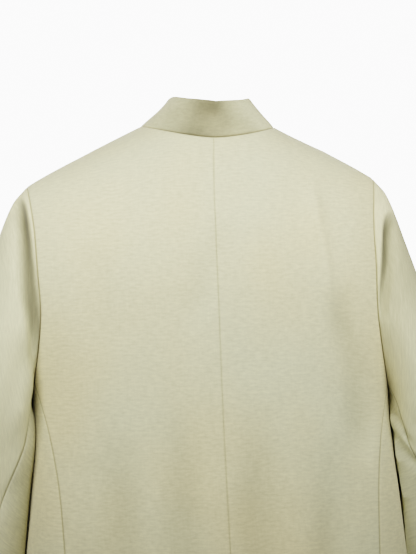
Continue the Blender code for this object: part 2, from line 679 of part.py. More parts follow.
# ------------------------------------------------------------------ the blazer
def build_pieces():
    pieces = {}
    for name, side in (("left", 1), ("right", -1)):
        pieces[f"back_{name}"] = back_grid(side)
        g, n = side_grid(side)
        pieces[f"side_{name}"] = (g, n if np.sum(n[..., 0]) * side > 0 else -n)
        pieces[f"front_{name}"] = front_grid(side)
        top, under = sleeve_top(side), sleeve_under(side)
        centre = np.concatenate([top, under], axis=1).mean(axis=1, keepdims=True)
        pieces[f"sleeve_top_{name}"] = (top, outward(top, centre))
        pieces[f"sleeve_under_{name}"] = (under, outward(under, centre))
    for face, want in (("back", 1), ("front", -1)):
        for name in ("left", "right"):
            g, n = pieces[f"{face}_{name}"]
            pieces[f"{face}_{name}"] = (g, n if np.sum(n[..., 1]) * want > 0 else -n)
    g = collar_grid()
    centre = np.stack([0 * g[..., 0], 0 * g[..., 1], g[..., 2] - 0.02], axis=-1)
    pieces["collar"] = (g, outward(g, centre))
    return pieces


def build():
    pieces = build_pieces()
    for name, (outer, inner, flip) in make_walls(pieces).items():
        add_wall(name, outer, inner, flip)
    for k, z in enumerate(BUTTONS["z"], 1):
        x = np.array([0.0, 0.004, 0.0])
        rise = np.array([float(rise_of(np.zeros(1), np.array([z]), "front")[0])] * 3) + np.array([0, 0, 0.004])
        p = warp(mirrored(front_point(x, rise, -1), -1))
        n = np.cross(p[1] - p[0], p[2] - p[0])
        n = unit(n if n[1] < 0 else -n)
        add_button(f"button_{k}", p[0] + n * BUTTON_GAP, n)


build()
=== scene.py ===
"""Looks of the stand-collar blazer: each cut piece as a thin cloth shell on its own solid's form."""
import json
import math

import bpy
import numpy as np
from mathutils import Matrix, Vector

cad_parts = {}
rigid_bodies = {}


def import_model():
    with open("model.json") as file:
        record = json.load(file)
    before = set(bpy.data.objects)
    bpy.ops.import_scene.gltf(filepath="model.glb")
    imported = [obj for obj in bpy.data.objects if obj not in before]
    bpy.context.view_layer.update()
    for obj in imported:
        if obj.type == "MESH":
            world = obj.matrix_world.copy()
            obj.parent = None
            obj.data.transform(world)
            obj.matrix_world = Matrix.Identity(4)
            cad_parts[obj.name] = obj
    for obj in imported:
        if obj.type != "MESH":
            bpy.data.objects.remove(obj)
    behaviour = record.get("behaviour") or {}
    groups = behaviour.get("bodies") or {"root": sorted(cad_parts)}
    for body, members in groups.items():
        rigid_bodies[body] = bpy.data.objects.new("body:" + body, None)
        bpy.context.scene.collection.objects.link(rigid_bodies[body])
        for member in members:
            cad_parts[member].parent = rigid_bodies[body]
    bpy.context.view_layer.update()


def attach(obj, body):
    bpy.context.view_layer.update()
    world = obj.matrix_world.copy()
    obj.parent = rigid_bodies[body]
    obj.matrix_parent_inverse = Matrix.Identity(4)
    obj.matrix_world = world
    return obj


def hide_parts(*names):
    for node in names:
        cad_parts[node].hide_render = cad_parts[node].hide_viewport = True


for old in list(bpy.data.objects):
    bpy.data.objects.remove(old, do_unlink=True)

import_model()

# ------------------------------------------------------------------ sizes shared with the solids
WALL = 0.0020
SEAM_GAP = 0.00012
NECK_HALF = 0.0814
SHOULDER_HALF = 0.2100
SHOULDER_DROP = 0.0686
NECK_Y = 0.012
BACK_NECK_DROP = 0.0152
FRONT_NECK_DROP = 0.060
NECK_CROWN = 0.0221
SECTION_POWER = 2.25
LAP = 0.018
LAP_STEP = WALL + 0.0011
LAP_FADE = 0.045
LAP_DIP = 0.0030
SWAY = -0.0105
SWAY_TOP = -0.10
SWAY_DEPTH = 0.417
SWAY_POWER = 1.6
NECK_TILT = 0.030
SHOULDER_TILT = {1: 0.003, -1: 0.0235}
MIDDLE_SHIFT = -0.0050
NECK_SHIFT = -0.0060
COLLAR_TOP_HALF = 0.0490
COLLAR_TOP_BACK = 0.0760
COLLAR_TOP_FRONT = -0.0620
COLLAR_END_GAP = 0.0008
COLLAR_BOW = 0.0022
BICEP_Z = -0.372
SLEEVE_CLEAR = 0.0009
SLEEVE_EASE = 0.0016
SLEEVE_BACK_SEAM = 126.0
SLEEVE_FRONT_SEAM = 236.0
SLEEVE_TURN = {1: -4.5, -1: -4.0}
BUTTON_R = 0.0100
BUTTON_T = 0.0032
BUTTON_GAP = 0.0004

TURN = {"back": {"z": -0.200, "power": 2.00}, "front": {"z": -0.230, "power": 1.75}}
BODY = {
    "z":          (-0.7000, -0.5174, -0.4500, -0.3995, -0.3350, -0.2000, -0.1000),
    "half_width": (0.2420, 0.2290, 0.2210, 0.2155, 0.2120, 0.2270, 0.2295),
    "back_depth": (0.1220, 0.1190, 0.1180, 0.1170, 0.1165, 0.1180, 0.1180),
    "front_depth": (0.1240, 0.1210, 0.1200, 0.1190, 0.1180, 0.1180, 0.1180),
}
BACK_ARMHOLE = {
    "z": (-0.0686, -0.1150, -0.1727, -0.2227, -0.2620, -0.3030),
    "x": (0.2100, 0.2047, 0.2019, 0.2000, 0.2035, 0.2095),
}
FRONT_ARMHOLE = {
    "z": (-0.0686, -0.1150, -0.1800, -0.2400, -0.3020),
    "x": (0.2100, 0.1960, 0.1880, 0.1890, 0.1995),
}
SIDE_BACK_SEAM = {
    "z": (-0.7000, -0.5090, -0.4140, -0.3530, -0.3030),
    "x": (0.1860, 0.1866, 0.1900, 0.1980, 0.2095),
}
SIDE_FRONT_SEAM = {
    "z": (-0.7000, -0.5000, -0.4000, -0.3020),
    "x": (0.2060, 0.1990, 0.1950, 0.1995),
}
UNDERARM = {"share": (0.0, 0.5, 1.0), "z": (-0.3030, -0.3340, -0.3020)}
RIGHT_OUT = {
    "z":   (-0.7000, -0.5200, -0.4200, -0.3600, -0.3000, -0.2100, -0.1200, -0.0500),
    "out": (0.0030, 0.0065, 0.0130, 0.0130, 0.0110, 0.0055, 0.0010, 0.0045),
}
RIGHT_DROP = {
    "z":    (-0.4600, -0.4000, -0.3400, -0.3000, -0.2600, -0.2000, -0.1500),
    "drop": (0.0000, 0.0045, 0.0105, 0.0120, 0.0080, 0.0015, 0.0000),
}
SLEEVE = {
    "z":          (BICEP_Z, -0.4300, -0.5200, -0.6400),
    "x":          (0.2528, 0.2622, 0.2735, 0.2990),
    "y":          (-0.0340, -0.0430, -0.0560, -0.0800),
    "half_width": (0.0522, 0.0523, 0.0550, 0.0465),
    "half_depth": (0.0760, 0.0670, 0.0570, 0.0455),
    "back_seam":  (123.0, 104.5, 85.5, 80.0),
}
SLEEVE_HEAD = {
    "round":   (0.0, 45.0, 90.0, 125.0, 180.0, 235.0, 270.0, 315.0, 360.0),
    "outward": (0.42, 0.58, 0.62, 0.30, 0.05, 0.28, 0.58, 0.56, 0.42),
    "pull":    (0.30, 0.38, 0.44, 0.45, 0.45, 0.45, 0.44, 0.38, 0.30),
}
SLEEVE_FULL = {
    "z":     (-0.3000, -0.2000, -0.1450, -0.1150, -0.0900, -0.0600),
    "left":  (0.0000, 0.0000, 0.0016, 0.0034, 0.0038, 0.0014),
    "right": (0.0000, 0.0000, 0.0026, 0.0046, 0.0048, 0.0026),
}
SLEEVE_FLAT = {
    "z":     (-0.2350, -0.2600, -0.2900, -0.3300, -0.4400, -0.5500, -0.6900),
    "left":  (0.0000, 0.0050, 0.0125, 0.0145, 0.0125, 0.0110, 0.0040),
    "right": (0.0000, 0.0000, 0.0050, 0.0105, 0.0130, 0.0115, 0.0040),
}
SLEEVE_NEAR = {1: 0.40, -1: 2.6}   # how far that flat leans in against the body
COLLAR_TOP = {
    "round":  (0.0, 40.0, 75.0, 100.0, 140.0, 180.0),
    "height": (0.0273, 0.0315, 0.0350, 0.0310, 0.0060, -0.0180),
}
BUTTONS = {"z": (-0.110, -0.215, -0.320, -0.425)}

# ------------------------------------------------------------------ sizes of the cloth's detail
STEP = 0.0036            # mesh step along the cloth
TIGHT = (0.0, 0.0006, 0.0013, 0.0023, 0.0038, 0.0058)   # closer steps beside an edge
SEAM_DEPTH = 0.0010      # how far a full seam pulls the cloth in
SEAM_WIDTH = 0.0013
EDGE_ROUND = 0.0007      # rounding of a turned edge
BREAK_PAINTED_SHADE = 105.0      # painted shade in a sleeve's break, for each metre of its depth
FLUTE_PAINTED_SHADE = 18.0        # painted shade in the back's flutes, the same way
COLLAR_WALL = 0.0028     # the collar is two layers of cloth

# creases of the body, given on (x, z) of the form, wearer's left positive
BACK_CREASES = (
    # long soft flutes of the lower back
    {"path": ((0.122, -0.33), (0.127, -0.42), (0.136, -0.70)), "width": 0.023, "depth": -0.0060, "fade": 0.16},
    {"path": ((0.049, -0.30), (0.054, -0.42), (0.064, -0.70)), "width": 0.020, "depth": -0.0070, "fade": 0.18},
    {"path": ((-0.043, -0.32), (-0.038, -0.43), (-0.030, -0.70)), "width": 0.023, "depth": -0.0080, "fade": 0.16},
    {"path": ((-0.132, -0.36), (-0.127, -0.45), (-0.112, -0.70)), "width": 0.020, "depth": -0.0056, "fade": 0.14},
    {"path": ((0.168, -0.46), (0.170, -0.56), (0.172, -0.70)), "width": 0.015, "depth": -0.0032, "fade": 0.10},
    {"path": ((0.011, -0.38), (0.018, -0.50), (0.022, -0.70)), "width": 0.018, "depth": 0.0022, "fade": 0.10},
    {"path": ((0.091, -0.38), (0.098, -0.50), (0.104, -0.70)), "width": 0.016, "depth": 0.0016, "fade": 0.10},
    # drag from the right shoulder blade to the side
    {"path": ((-0.119, -0.060), (-0.127, -0.136), (-0.144, -0.245)), "width": 0.010, "depth": 0.0044, "fade": 0.05},
    {"path": ((-0.146, -0.19), (-0.155, -0.242), (-0.169, -0.295), (-0.178, -0.420)), "width": 0.015, "depth": -0.0080, "fade": 0.07},
    # faint drag across the left back
    {"path": ((-0.018, -0.105), (0.010, -0.175), (0.038, -0.250)), "width": 0.017, "depth": -0.0026, "fade": 0.05},
    {"path": ((0.150, -0.12), (0.134, -0.20), (0.130, -0.28)), "width": 0.020, "depth": -0.0018, "fade": 0.06},
)
FRONT_CREASES = (
    {"path": ((0.100, -0.38), (0.104, -0.50), (0.100, -0.70)), "width": 0.026, "depth": -0.0036, "fade": 0.12},
    {"path": ((-0.095, -0.36), (-0.102, -0.50), (-0.104, -0.70)), "width": 0.028, "depth": -0.0034, "fade": 0.12},
    {"path": ((0.150, -0.25), (0.135, -0.33), (0.110, -0.42)), "width": 0.016, "depth": -0.0030, "fade": 0.06},
    {"path": ((-0.152, -0.24), (-0.130, -0.32), (-0.112, -0.40)), "width": 0.016, "depth": -0.0032, "fade": 0.06},
    {"path": ((0.060, -0.50), (0.056, -0.60), (0.060, -0.70)), "width": 0.020, "depth": -0.0022, "fade": 0.10},
    {"path": ((-0.160, -0.46), (-0.156, -0.58), (-0.158, -0.70)), "width": 0.020, "depth": -0.0026, "fade": 0.10},
)
# break of the sleeve beside the back armhole seam: where it starts off the seam, how wide it falls,
# how wide it rises again, how deep it is, how wide its painted shade is, where that painted shade starts and how much
# painted shade the cloth beyond gets, by height
SLEEVE_BREAK = {
    1: {"z": (-0.080, -0.089, -0.102, -0.127, -0.152, -0.176, -0.205, -0.232, -0.256, -0.285),
        "edge": (0.0052, 0.0038, 0.0028, 0.0020, 0.0012, 0.0006, 0.0002, 0.0, 0.0, 0.0),
        "fall": (0.0100, 0.0110, 0.0115, 0.0115, 0.0115, 0.0105, 0.0090, 0.0070, 0.0060, 0.0050),
        "rise": (0.014, 0.016, 0.018, 0.021, 0.023, 0.023, 0.020, 0.014, 0.010, 0.008),
        "depth": (0.0, 0.0062, 0.0088, 0.0090, 0.0086, 0.0082, 0.0080, 0.0072, 0.0046, 0.0),
        "shade": (0.0135, 0.0185, 0.0225, 0.0250, 0.0275, 0.0290, 0.0285, 0.0205, 0.0120, 0.0055),
        "dark": (0.0036, 0.0020, 0.0014, 0.0004, -0.0010, -0.0024, -0.0036, -0.0044, -0.0044, -0.0030),
        "beyond": (0.0, 0.06, 0.10, 0.10, 0.10, 0.10, 0.05, 0.0, 0.0, 0.0)},
    -1: {"z": (-0.111, -0.120, -0.130, -0.145, -0.163, -0.186, -0.207, -0.222, -0.236),
         "edge": (0.0115, 0.0100, 0.0085, 0.0065, 0.0045, 0.0020, 0.0010, 0.0006, 0.0004),
         "fall": (0.0120, 0.0120, 0.0115, 0.0105, 0.0085, 0.0065, 0.0040, 0.0030, 0.0030),
         "rise": (0.014, 0.016, 0.018, 0.018, 0.017, 0.015, 0.012, 0.010, 0.009),
         "depth": (0.0, 0.0062, 0.0088, 0.0090, 0.0088, 0.0076, 0.0050, 0.0028, 0.0),
         "shade": (0.0250, 0.0290, 0.0260, 0.0225, 0.0190, 0.0130, 0.0070, 0.0045, 0.0030),
         "dark": (0.0115, 0.0100, 0.0085, 0.0065, 0.0045, 0.0020, 0.0010, 0.0006, 0.0004),
         "beyond": (0.16, 0.38, 0.40, 0.40, 0.40, 0.38, 0.32, 0.22, 0.14)},
}
# other sleeve creases: from and to (degrees round from the outer line, height)
SLEEVE_CREASES = (
    {"side": 1, "path": ((70, -0.36), (58, -0.41), (30, -0.45)), "width": 0.012, "depth": -0.0024, "fade": 0.04},
    {"side": 1, "path": ((150, -0.40), (118, -0.45), (80, -0.51)), "width": 0.014, "depth": -0.0016, "fade": 0.04},
    {"side": 1, "path": ((60, -0.24), (52, -0.31), (50, -0.38)), "width": 0.012, "depth": -0.0022, "fade": 0.05},
    {"side": 1, "path": ((108, -0.262), (112, -0.31), (108, -0.38)), "width": 0.017, "depth": 0.0050, "fade": 0.05},
    {"side": -1, "path": ((165, -0.335), (140, -0.375), (124, -0.43)), "width": 0.006, "depth": -0.0040, "fade": 0.03},
    {"side": -1, "path": ((150, -0.325), (132, -0.350), (120, -0.39)), "width": 0.005, "depth": -0.0030, "fade": 0.02},
    {"side": -1, "path": ((110, -0.34), (80, -0.39), (45, -0.42)), "width": 0.010, "depth": -0.0030, "fade": 0.03},
    {"side": -1, "path": ((62, -0.23), (55, -0.30), (52, -0.37)), "width": 0.012, "depth": -0.0020, "fade": 0.05},
    {"side": 0, "path": ((215, -0.41), (250, -0.44), (290, -0.46)), "width": 0.010, "depth": -0.0040, "fade": 0.03},
    {"side": 0, "path": ((210, -0.45), (245, -0.49), (285, -0.50)), "width": 0.009, "depth": -0.0036, "fade": 0.03},
    {"side": 0, "path": ((300, -0.22), (305, -0.30), (300, -0.38)), "width": 0.012, "depth": -0.0026, "fade": 0.05},
    {"side": 0, "path": ((120, -0.52), (85, -0.55), (55, -0.56)), "width": 0.009, "depth": -0.0026, "fade": 0.03},
    {"side": 0, "path": ((330, -0.50), (350, -0.53), (385, -0.55)), "width": 0.010, "depth": -0.0022, "fade": 0.03},
)


# ------------------------------------------------------------------ small helpers
def curve(table, key, at="z"):
    """Smooth curve through one named column of a table."""
    xs, ys = np.array(table[at], float), np.array(table[key], float)
    order = np.argsort(xs)
    xs, ys = xs[order], ys[order]
    step = np.diff(xs)
    slope = np.diff(ys) / step
    m = np.empty_like(xs)
    m[0], m[-1] = slope[0], slope[-1]
    m[1:-1] = (step[:-1] * slope[1:] + step[1:] * slope[:-1]) / (step[:-1] + step[1:])

    def value(x):
        x = np.clip(np.asarray(x, float), xs[0], xs[-1])
        i = np.clip(np.searchsorted(xs, x) - 1, 0, len(step) - 1)
        t = (x - xs[i]) / step[i]
        return ((2 * t ** 3 - 3 * t ** 2 + 1) * ys[i] + (t ** 3 - 2 * t ** 2 + t) * step[i] * m[i]
                + (3 * t ** 2 - 2 * t ** 3) * ys[i + 1] + (t ** 3 - t ** 2) * step[i] * m[i + 1])

    return value


def smooth(t):
    t = np.clip(t, 0.0, 1.0)
    return t * t * (3 - 2 * t)


def unit(v):
    return v / np.maximum(np.linalg.norm(v, axis=-1, keepdims=True), 1e-12)


half_width = curve(BODY, "half_width")
depth = {"back": curve(BODY, "back_depth"), "front": curve(BODY, "front_depth")}
FACE = {"back": 1.0, "front": -1.0}


# ------------------------------------------------------------------ the common form
def ridge_z(x):
    ax = np.abs(x)
    t = (ax - NECK_HALF) / (SHOULDER_HALF - NECK_HALF)
    out = -SHOULDER_DROP * (0.96 * t - 0.10 * t ** 2 + 0.14 * t ** 3)
    return np.where(ax > NECK_HALF, out, NECK_CROWN * (1 - (ax / NECK_HALF) ** 2))


def ridge_y(x):
    t = np.clip((np.abs(x) - NECK_HALF) / (SHOULDER_HALF - NECK_HALF), 0, 1)
    return NECK_Y * (1 - t)


def section_y(x, z, face):
    r = np.clip(np.abs(x) / half_width(z), 0, 1)
    return FACE[face] * depth[face](z) * (1 - r ** SECTION_POWER) ** (1 / SECTION_POWER)


def section_x(y, z):
    d = np.where(y > 0, depth["back"](z), depth["front"](z))
    r = np.clip(np.abs(y) / d, 0, 1)
    return half_width(z) * (1 - r ** SECTION_POWER) ** (1 / SECTION_POWER)


def rise_of(x, z, face):
    z0 = TURN[face]["z"]
    span = ridge_z(x) - z0
    h = np.clip((z - z0) / span, -1, 1)
    return np.where(z <= z0, z - z0, span * np.arcsin(h))


def on_face(x, rise, face):
    z0, p = TURN[face]["z"], TURN[face]["power"]
    span = ridge_z(x) - z0
    turn = np.clip(rise / span, 0, math.pi / 2)
    z = np.where(rise <= 0, z0 + rise, z0 + span * np.sin(turn))
    keep = np.clip(1 - np.sin(turn) ** p, 0, 1) ** (1 / p)
    yr = ridge_y(x)
    y = yr + (section_y(x, z, face) - yr) * keep
    return np.stack([x + 0 * y, y, z], axis=-1)


def fractions(length, tight=(True, True), step=STEP):
    """0 to 1 along an edge of this length, closer together beside the ends that are seams."""
    ends = np.array(TIGHT)
    a = ends if tight[0] else ends[:1]
    b = ends if tight[1] else ends[:1]
    n = max(2, int(round((length - a[-1] - b[-1]) / step)))
    mid = np.linspace(a[-1], length - b[-1], n + 1)
    return np.concatenate([a[:-1], mid, length - b[:-1][::-1]]) / length


def by_length(x, rise, face, share):
    p = on_face(x, rise, face)
    s = np.concatenate([[0], np.cumsum(np.linalg.norm(np.diff(p, axis=0), axis=1))])
    return np.interp(share * s[-1], s, x), np.interp(share * s[-1], s, rise)


DENSE = np.linspace(0, 1, 1601)
F_NECK_BACK = fractions(0.105, (True, False))
F_NECK_FRONT = fractions(0.135, (False, False))
F_SHOULDER = fractions(0.146, (False, True))
F_SIDE = fractions(0.385)
F_BACK_ARM = fractions(0.262)
F_FRONT_ARM = fractions(0.262)
F_UNDER = fractions(0.105)
F_LAP = fractions(LAP, (True, False))


def neck_curve(face, share):
    x = NECK_HALF * np.sin(DENSE * math.pi / 2)
    if face == "back":
        z = -BACK_NECK_DROP * (1 - (x / NECK_HALF) ** 1.6)
    else:
        z = -FRONT_NECK_DROP * np.cos(DENSE * math.pi / 2)
    rise = rise_of(x, z, face)
    rise[-1] = (ridge_z(x[-1]) - TURN[face]["z"]) * math.pi / 2
    return by_length(x, rise, face, share)


def shoulder_curve(face, share):
    x = NECK_HALF + (SHOULDER_HALF - NECK_HALF) * share
    return x, (ridge_z(x) - TURN[face]["z"]) * math.pi / 2


def edge_curve(table, face, share):
    zs = np.array(table["z"])
    z = zs.min() + (zs.max() - zs.min()) * np.sin(DENSE * math.pi / 2) if zs.max() > -0.1 \
        else np.linspace(zs.min(), zs.max(), len(DENSE))
    x = curve(table, "x")(z)
    rise = rise_of(x, z, face)
    if zs.max() > -0.1:
        x[-1] = SHOULDER_HALF
        rise[-1] = (ridge_z(SHOULDER_HALF) - TURN[face]["z"]) * math.pi / 2
    return by_length(x, rise, face, share)


def join(a, b):
    return tuple(np.concatenate([p, q[1:]]) for p, q in zip(a, b))


def coons(left, right, bottom, top, t, s):
    t, s = t[:, None], s[None, :]
    out = []
    for k in (0, 1):
        L, R, B, T = (np.asarray(e[k]) for e in (left, right, bottom, top))
        out.append((1 - s) * L[:, None] + s * R[:, None] + (1 - t) * B[None, :] + t * T[None, :]
                   - ((1 - s) * (1 - t) * B[0] + s * (1 - t) * B[-1]
                      + (1 - s) * t * T[0] + s * t * T[-1]))
    return out


def warp(p):
    p = np.array(p, float)
    x, z = p[..., 0].copy(), p[..., 2].copy()
    fall = np.clip((SWAY_TOP - z) / SWAY_DEPTH, 0, None)
    lift = np.clip((z + 0.09) / 0.09, 0, 1.2) ** 1.5
    near = np.clip(1 - (x / 0.15) ** 2, 0, 1)
    high = smooth((z + 0.30) / 0.18)
    tilt = np.where(x > 0, SHOULDER_TILT[1], SHOULDER_TILT[-1])
    p[..., 2] += x * (NECK_TILT * lift * near - tilt * high * (1 - near))
    p[..., 0] += SWAY * fall ** SWAY_POWER
    p[..., 0] += (MIDDLE_SHIFT + NECK_SHIFT * lift) * np.clip(1 - (x / 0.20) ** 2, 0, 1)
    p[..., 0] -= curve(RIGHT_OUT, "out")(z) * smooth((-x - 0.15) / 0.08)
    p[..., 2] -= curve(RIGHT_DROP, "drop")(z) * smooth((-x - 0.13) / 0.07)
    return p


def mirrored(p, side):
    p = np.array(p, float)
    p[..., 0] *= side
    return p


# ------------------------------------------------------------------ creases and the cloth's own unevenness
def lattice(seed, n=64):
    return np.random.default_rng(seed).uniform(-1, 1, (n, n))


def soft_noise(u, v, seed):
    """Smooth uneven field, about -1 to 1, one lump a unit."""
    g = lattice(seed)
    n = len(g)
    iu, iv = np.floor(u).astype(int), np.floor(v).astype(int)
    fu, fv = smooth(u - iu), smooth(v - iv)
    a, b = g[iu % n, iv % n], g[(iu + 1) % n, iv % n]
    c, d = g[iu % n, (iv + 1) % n], g[(iu + 1) % n, (iv + 1) % n]
    return (a * (1 - fu) + b * fu) * (1 - fv) + (c * (1 - fu) + d * fu) * fv


def crease(u, v, path, width, depth, fade):
    """One soft trough (or ridge) along a path in the plane (u, v), dying out over fade at its ends."""
    best = np.full(u.shape, 1e9)
    along = np.zeros(u.shape)
    done = 0.0
    for (u0, v0), (u1, v1) in zip(path, path[1:]):
        size = math.hypot(u1 - u0, v1 - v0)
        du, dv = (u1 - u0) / size, (v1 - v0) / size
        run = np.clip((u - u0) * du + (v - v0) * dv, 0, size)
        off = np.hypot(u - u0 - run * du, v - v0 - run * dv)
        near = off < best
        best = np.where(near, off, best)
        along = np.where(near, done + run, along)
        done += size
    ends = smooth(along / fade) * smooth((done - along) / fade + (0.65 if path[-1][1] <= -0.69 else 0.0))
    wander = 1 + 0.18 * soft_noise(along * 9 + 3.1, 0 * along + width * 900, 5)
    return depth * wander * np.exp(-(best / width) ** 2) * ends


def back_relief(x, z):
    out = sum(crease(x, z, **c) for c in BACK_CREASES)
    out = out + 0.0005 * soft_noise(x * 26 + 7, z * 17 + 31, 11) + 0.00022 * soft_noise(x * 70 + 3, z * 52 + 9, 12)
    return out


def front_relief(x, z):
    out = sum(crease(x, z, **c) for c in FRONT_CREASES)
    return out + 0.0005 * soft_noise(x * 26 + 17, z * 17 + 41, 13) + 0.00022 * soft_noise(x * 70 + 5, z * 52 + 2, 14)


# ------------------------------------------------------------------ grids of the cut pieces
def face_normals(point, x, rise, side):
    e = 2e-4
    across = warp(mirrored(point(x + e, rise), side)) - warp(mirrored(point(x - e, rise), side))
    up = warp(mirrored(point(x, rise), side)) - warp(mirrored(point(x, rise - e), side))
    return unit(np.cross(across, up))


def rows_cols(right, top, face):
    """Blending shares of a panel's rows and columns from its side and top edges."""
    t = (right[1] - right[1][0]) / (right[1][-1] - right[1][0])
    p = on_face(top[0], top[1], face)
    s = np.concatenate([[0], np.cumsum(np.linalg.norm(np.diff(p, axis=0), axis=1))])
    return t, s / s[-1]


def back_piece(side):
    right = join(edge_curve(SIDE_BACK_SEAM, "back", F_SIDE), edge_curve(BACK_ARMHOLE, "back", F_BACK_ARM))
    top = join(neck_curve("back", F_NECK_BACK), shoulder_curve("back", F_SHOULDER))
    t, s = rows_cols(right, top, "back")
    left = (0 * t, right[1][0] + t * (top[1][0] - right[1][0]))
    bottom = (s * right[0][0], 0 * s + right[1][0])
    x, rise = coons(left, right, bottom, top, t, s)
    p = on_face(x, rise, "back")
    n = face_normals(lambda u, v: on_face(u, v, "back"), x, rise, side)
    n = n if n[..., 1].sum() > 0 else -n
    g = warp(mirrored(p, side))
    relief = back_relief(side * p[..., 0], p[..., 2])
    relief = relief * smooth((p[:, -1:, 0] - p[..., 0]) / 0.015) * smooth((rise[-1:] - rise) / 0.030)
    # painted shade: the cloth's colour darkened in the troughs of the back's creases, by their depth
    return {"grid": g, "normal": n, "relief": relief, "uv": (side * x + 0.6, rise),
            "hollow": FLUTE_PAINTED_SHADE * np.clip(-relief, 0, None), "seams": (0.0, 0.7, 0.35, 0.75)}


def lap_step(x, side):
    return (LAP_STEP * (1 - smooth((x - LAP - 0.004) / LAP_FADE))) if side < 0 else 0 * x


def front_point(x, rise, side):
    p = on_face(x, rise, "front")
    if side < 0:
        e = 1e-4
        up = on_face(x, rise + e, "front") - on_face(x, rise - e, "front")
        across = on_face(x + e, rise, "front") - on_face(x - e, rise, "front")
        n = unit(np.cross(across, up))
        n = np.where(n[..., 1:2] > 0, -n, n)
        p = p + n * lap_step(x, side)[..., None]
    return p


def front_piece(side):
    right = join(edge_curve(SIDE_FRONT_SEAM, "front", F_SIDE), edge_curve(FRONT_ARMHOLE, "front", F_FRONT_ARM))
    top = join(neck_curve("front", F_NECK_FRONT), shoulder_curve("front", F_SHOULDER))
    lap_x = -LAP + LAP * F_LAP
    lap_z = -FRONT_NECK_DROP * np.sqrt(1 - (lap_x / NECK_HALF) ** 2) - LAP_DIP * smooth(-lap_x / 0.008)
    top = join((lap_x, rise_of(lap_x, lap_z, "front")), top)
    t, s = rows_cols(right, top, "front")
    left = (0 * t - LAP, right[1][0] + t * (top[1][0] - right[1][0]))
    bottom = (-LAP + s * (right[0][0] + LAP), 0 * s + right[1][0])
    x, rise = coons(left, right, bottom, top, t, s)
    p = front_point(x, rise, side)
    n = face_normals(lambda u, v: front_point(u, v, side), x, rise, side)
    n = n if n[..., 1].sum() < 0 else -n
    relief = front_relief(side * p[..., 0], p[..., 2])
    relief = relief * smooth((p[:, -1:, 0] - p[..., 0]) / 0.022) * smooth((rise[-1:] - rise) / 0.030)
    relief = relief * smooth((x - 0.022) / 0.03)
    return {"grid": warp(mirrored(p, side)), "normal": n, "relief": relief, "uv": (side * x + 1.6, rise),
            "seams": (0.0, 0.7, 0.0, 0.75)}


def side_piece(side):
    pb = on_face(*edge_curve(SIDE_BACK_SEAM, "back", F_SIDE), "back")
    pf = on_face(*edge_curve(SIDE_FRONT_SEAM, "front", F_SIDE), "front")
    u = F_UNDER[None, :]
    t = F_SIDE[:, None]
    dip = curve(UNDERARM, "z", "share")(F_UNDER) - (UNDERARM["z"][0] * (1 - F_UNDER) + UNDERARM["z"][-1] * F_UNDER)
    z = pb[:, 2:3] * (1 - u) + pf[:, 2:3] * u + dip[None, :] * smooth((t - 0.35) / 0.65)
    y = pb[:, 1:2] * (1 - u) + pf[:, 1:2] * u
    p = np.stack([section_x(y, z), y, z], axis=-1)
    p[:, 0], p[:, -1] = pb, pf
    g = warp(mirrored(p, side))
    n = unit(np.cross(np.gradient(g, axis=1), np.gradient(g, axis=0)))
    n = n if (n[..., 0] * side).sum() > 0 else -n
    relief = 0.0022 * soft_noise(y * 16 + 5 + side, z * 5 + 8, 15) * smooth((-0.36 - z) / 0.10)
    edge = np.minimum(u, 1 - u) * 0.13
    return {"grid": g, "normal": n, "relief": relief * smooth(edge / 0.022), "uv": (y + 2.4 + side * 0.2, z),
            "seams": (0.0, 0.8, 0.75, 0.75)}


def side_top():
    pb = on_face(*edge_curve(SIDE_BACK_SEAM, "back", F_SIDE), "back")[-1]
    pf = on_face(*edge_curve(SIDE_FRONT_SEAM, "front", F_SIDE), "front")[-1]
    z = curve(UNDERARM, "z", "share")(F_UNDER)
    y = pb[1] * (1 - F_UNDER) + pf[1] * F_UNDER
    p = np.stack([section_x(y, z), y, z], axis=-1)
    p[0], p[-1] = pb, pf
    return p


def axis_at(z):
    return np.array([float(curve(SLEEVE, k)(z)) for k in ("x", "y")] + [float(z)])


def ring(z, turn):
    c = axis_at(z)
    d = unit(axis_at(z - 0.01) - axis_at(z + 0.01) if SLEEVE["z"][-1] + 0.01 < z < SLEEVE["z"][0] - 0.01
             else (axis_at(z - 0.02) - c if z > -0.5 else c - axis_at(z + 0.02)))
    e1 = unit(np.array([1.0, 0, 0]) - d[0] * d)
    e2 = np.cross(d, e1)
    e2 = e2 if e2[1] > 0 else -e2
    a = np.radians(np.asarray(turn))
    hw, hd = float(curve(SLEEVE, "half_width")(z)), float(curve(SLEEVE, "half_depth")(z))
    return c + hw * np.cos(a)[:, None] * e1 + hd * np.sin(a)[:, None] * e2, d


def off_body(p, below):
    least = section_x(p[..., 1], p[..., 2]) + SLEEVE_CLEAR * smooth(below / 0.03)
    k = SLEEVE_EASE
    gap = p[..., 0] - least
    p = p.copy()
    p[..., 0] = np.where(below > 0, least + 0.5 * (gap + np.sqrt(gap ** 2 + k ** 2 * smooth(below / 0.03))), p[..., 0])
    return p


def turn_at(turn, z, side):
    seam = float(curve(SLEEVE, "back_seam")(z)) + SLEEVE_TURN[side]
    return np.interp(turn, (0.0, SLEEVE_BACK_SEAM, SLEEVE_FRONT_SEAM, 360.0), (0.0, seam, SLEEVE_FRONT_SEAM, 360.0))


def fullness(p, down, turn, side):
    over = smooth(1 - np.minimum(turn, 360 - turn) / SLEEVE_BACK_SEAM)
    p = p.copy()
    p[..., 0] += curve(SLEEVE_FULL, "left" if side > 0 else "right")(p[..., 2]) * over * smooth(down / 0.022)
    flat = curve(SLEEVE_FLAT, "left" if side > 0 else "right")(p[..., 2]) * smooth(down / 0.030)
    p[..., 1] += flat * smooth((turn - 85) / 60) * (1 - smooth((turn - 170) / 55))
    p[..., 0] -= SLEEVE_NEAR[side] * flat * smooth((turn - 136) / 26) * (1 - smooth((turn - 184) / 40))
    return p


HEAD_SHARE = np.concatenate([np.array([0, 0.0025, 0.0055]), np.linspace(0.009, 0.16, 28), np.linspace(0.16, 1, 50)[1:]])


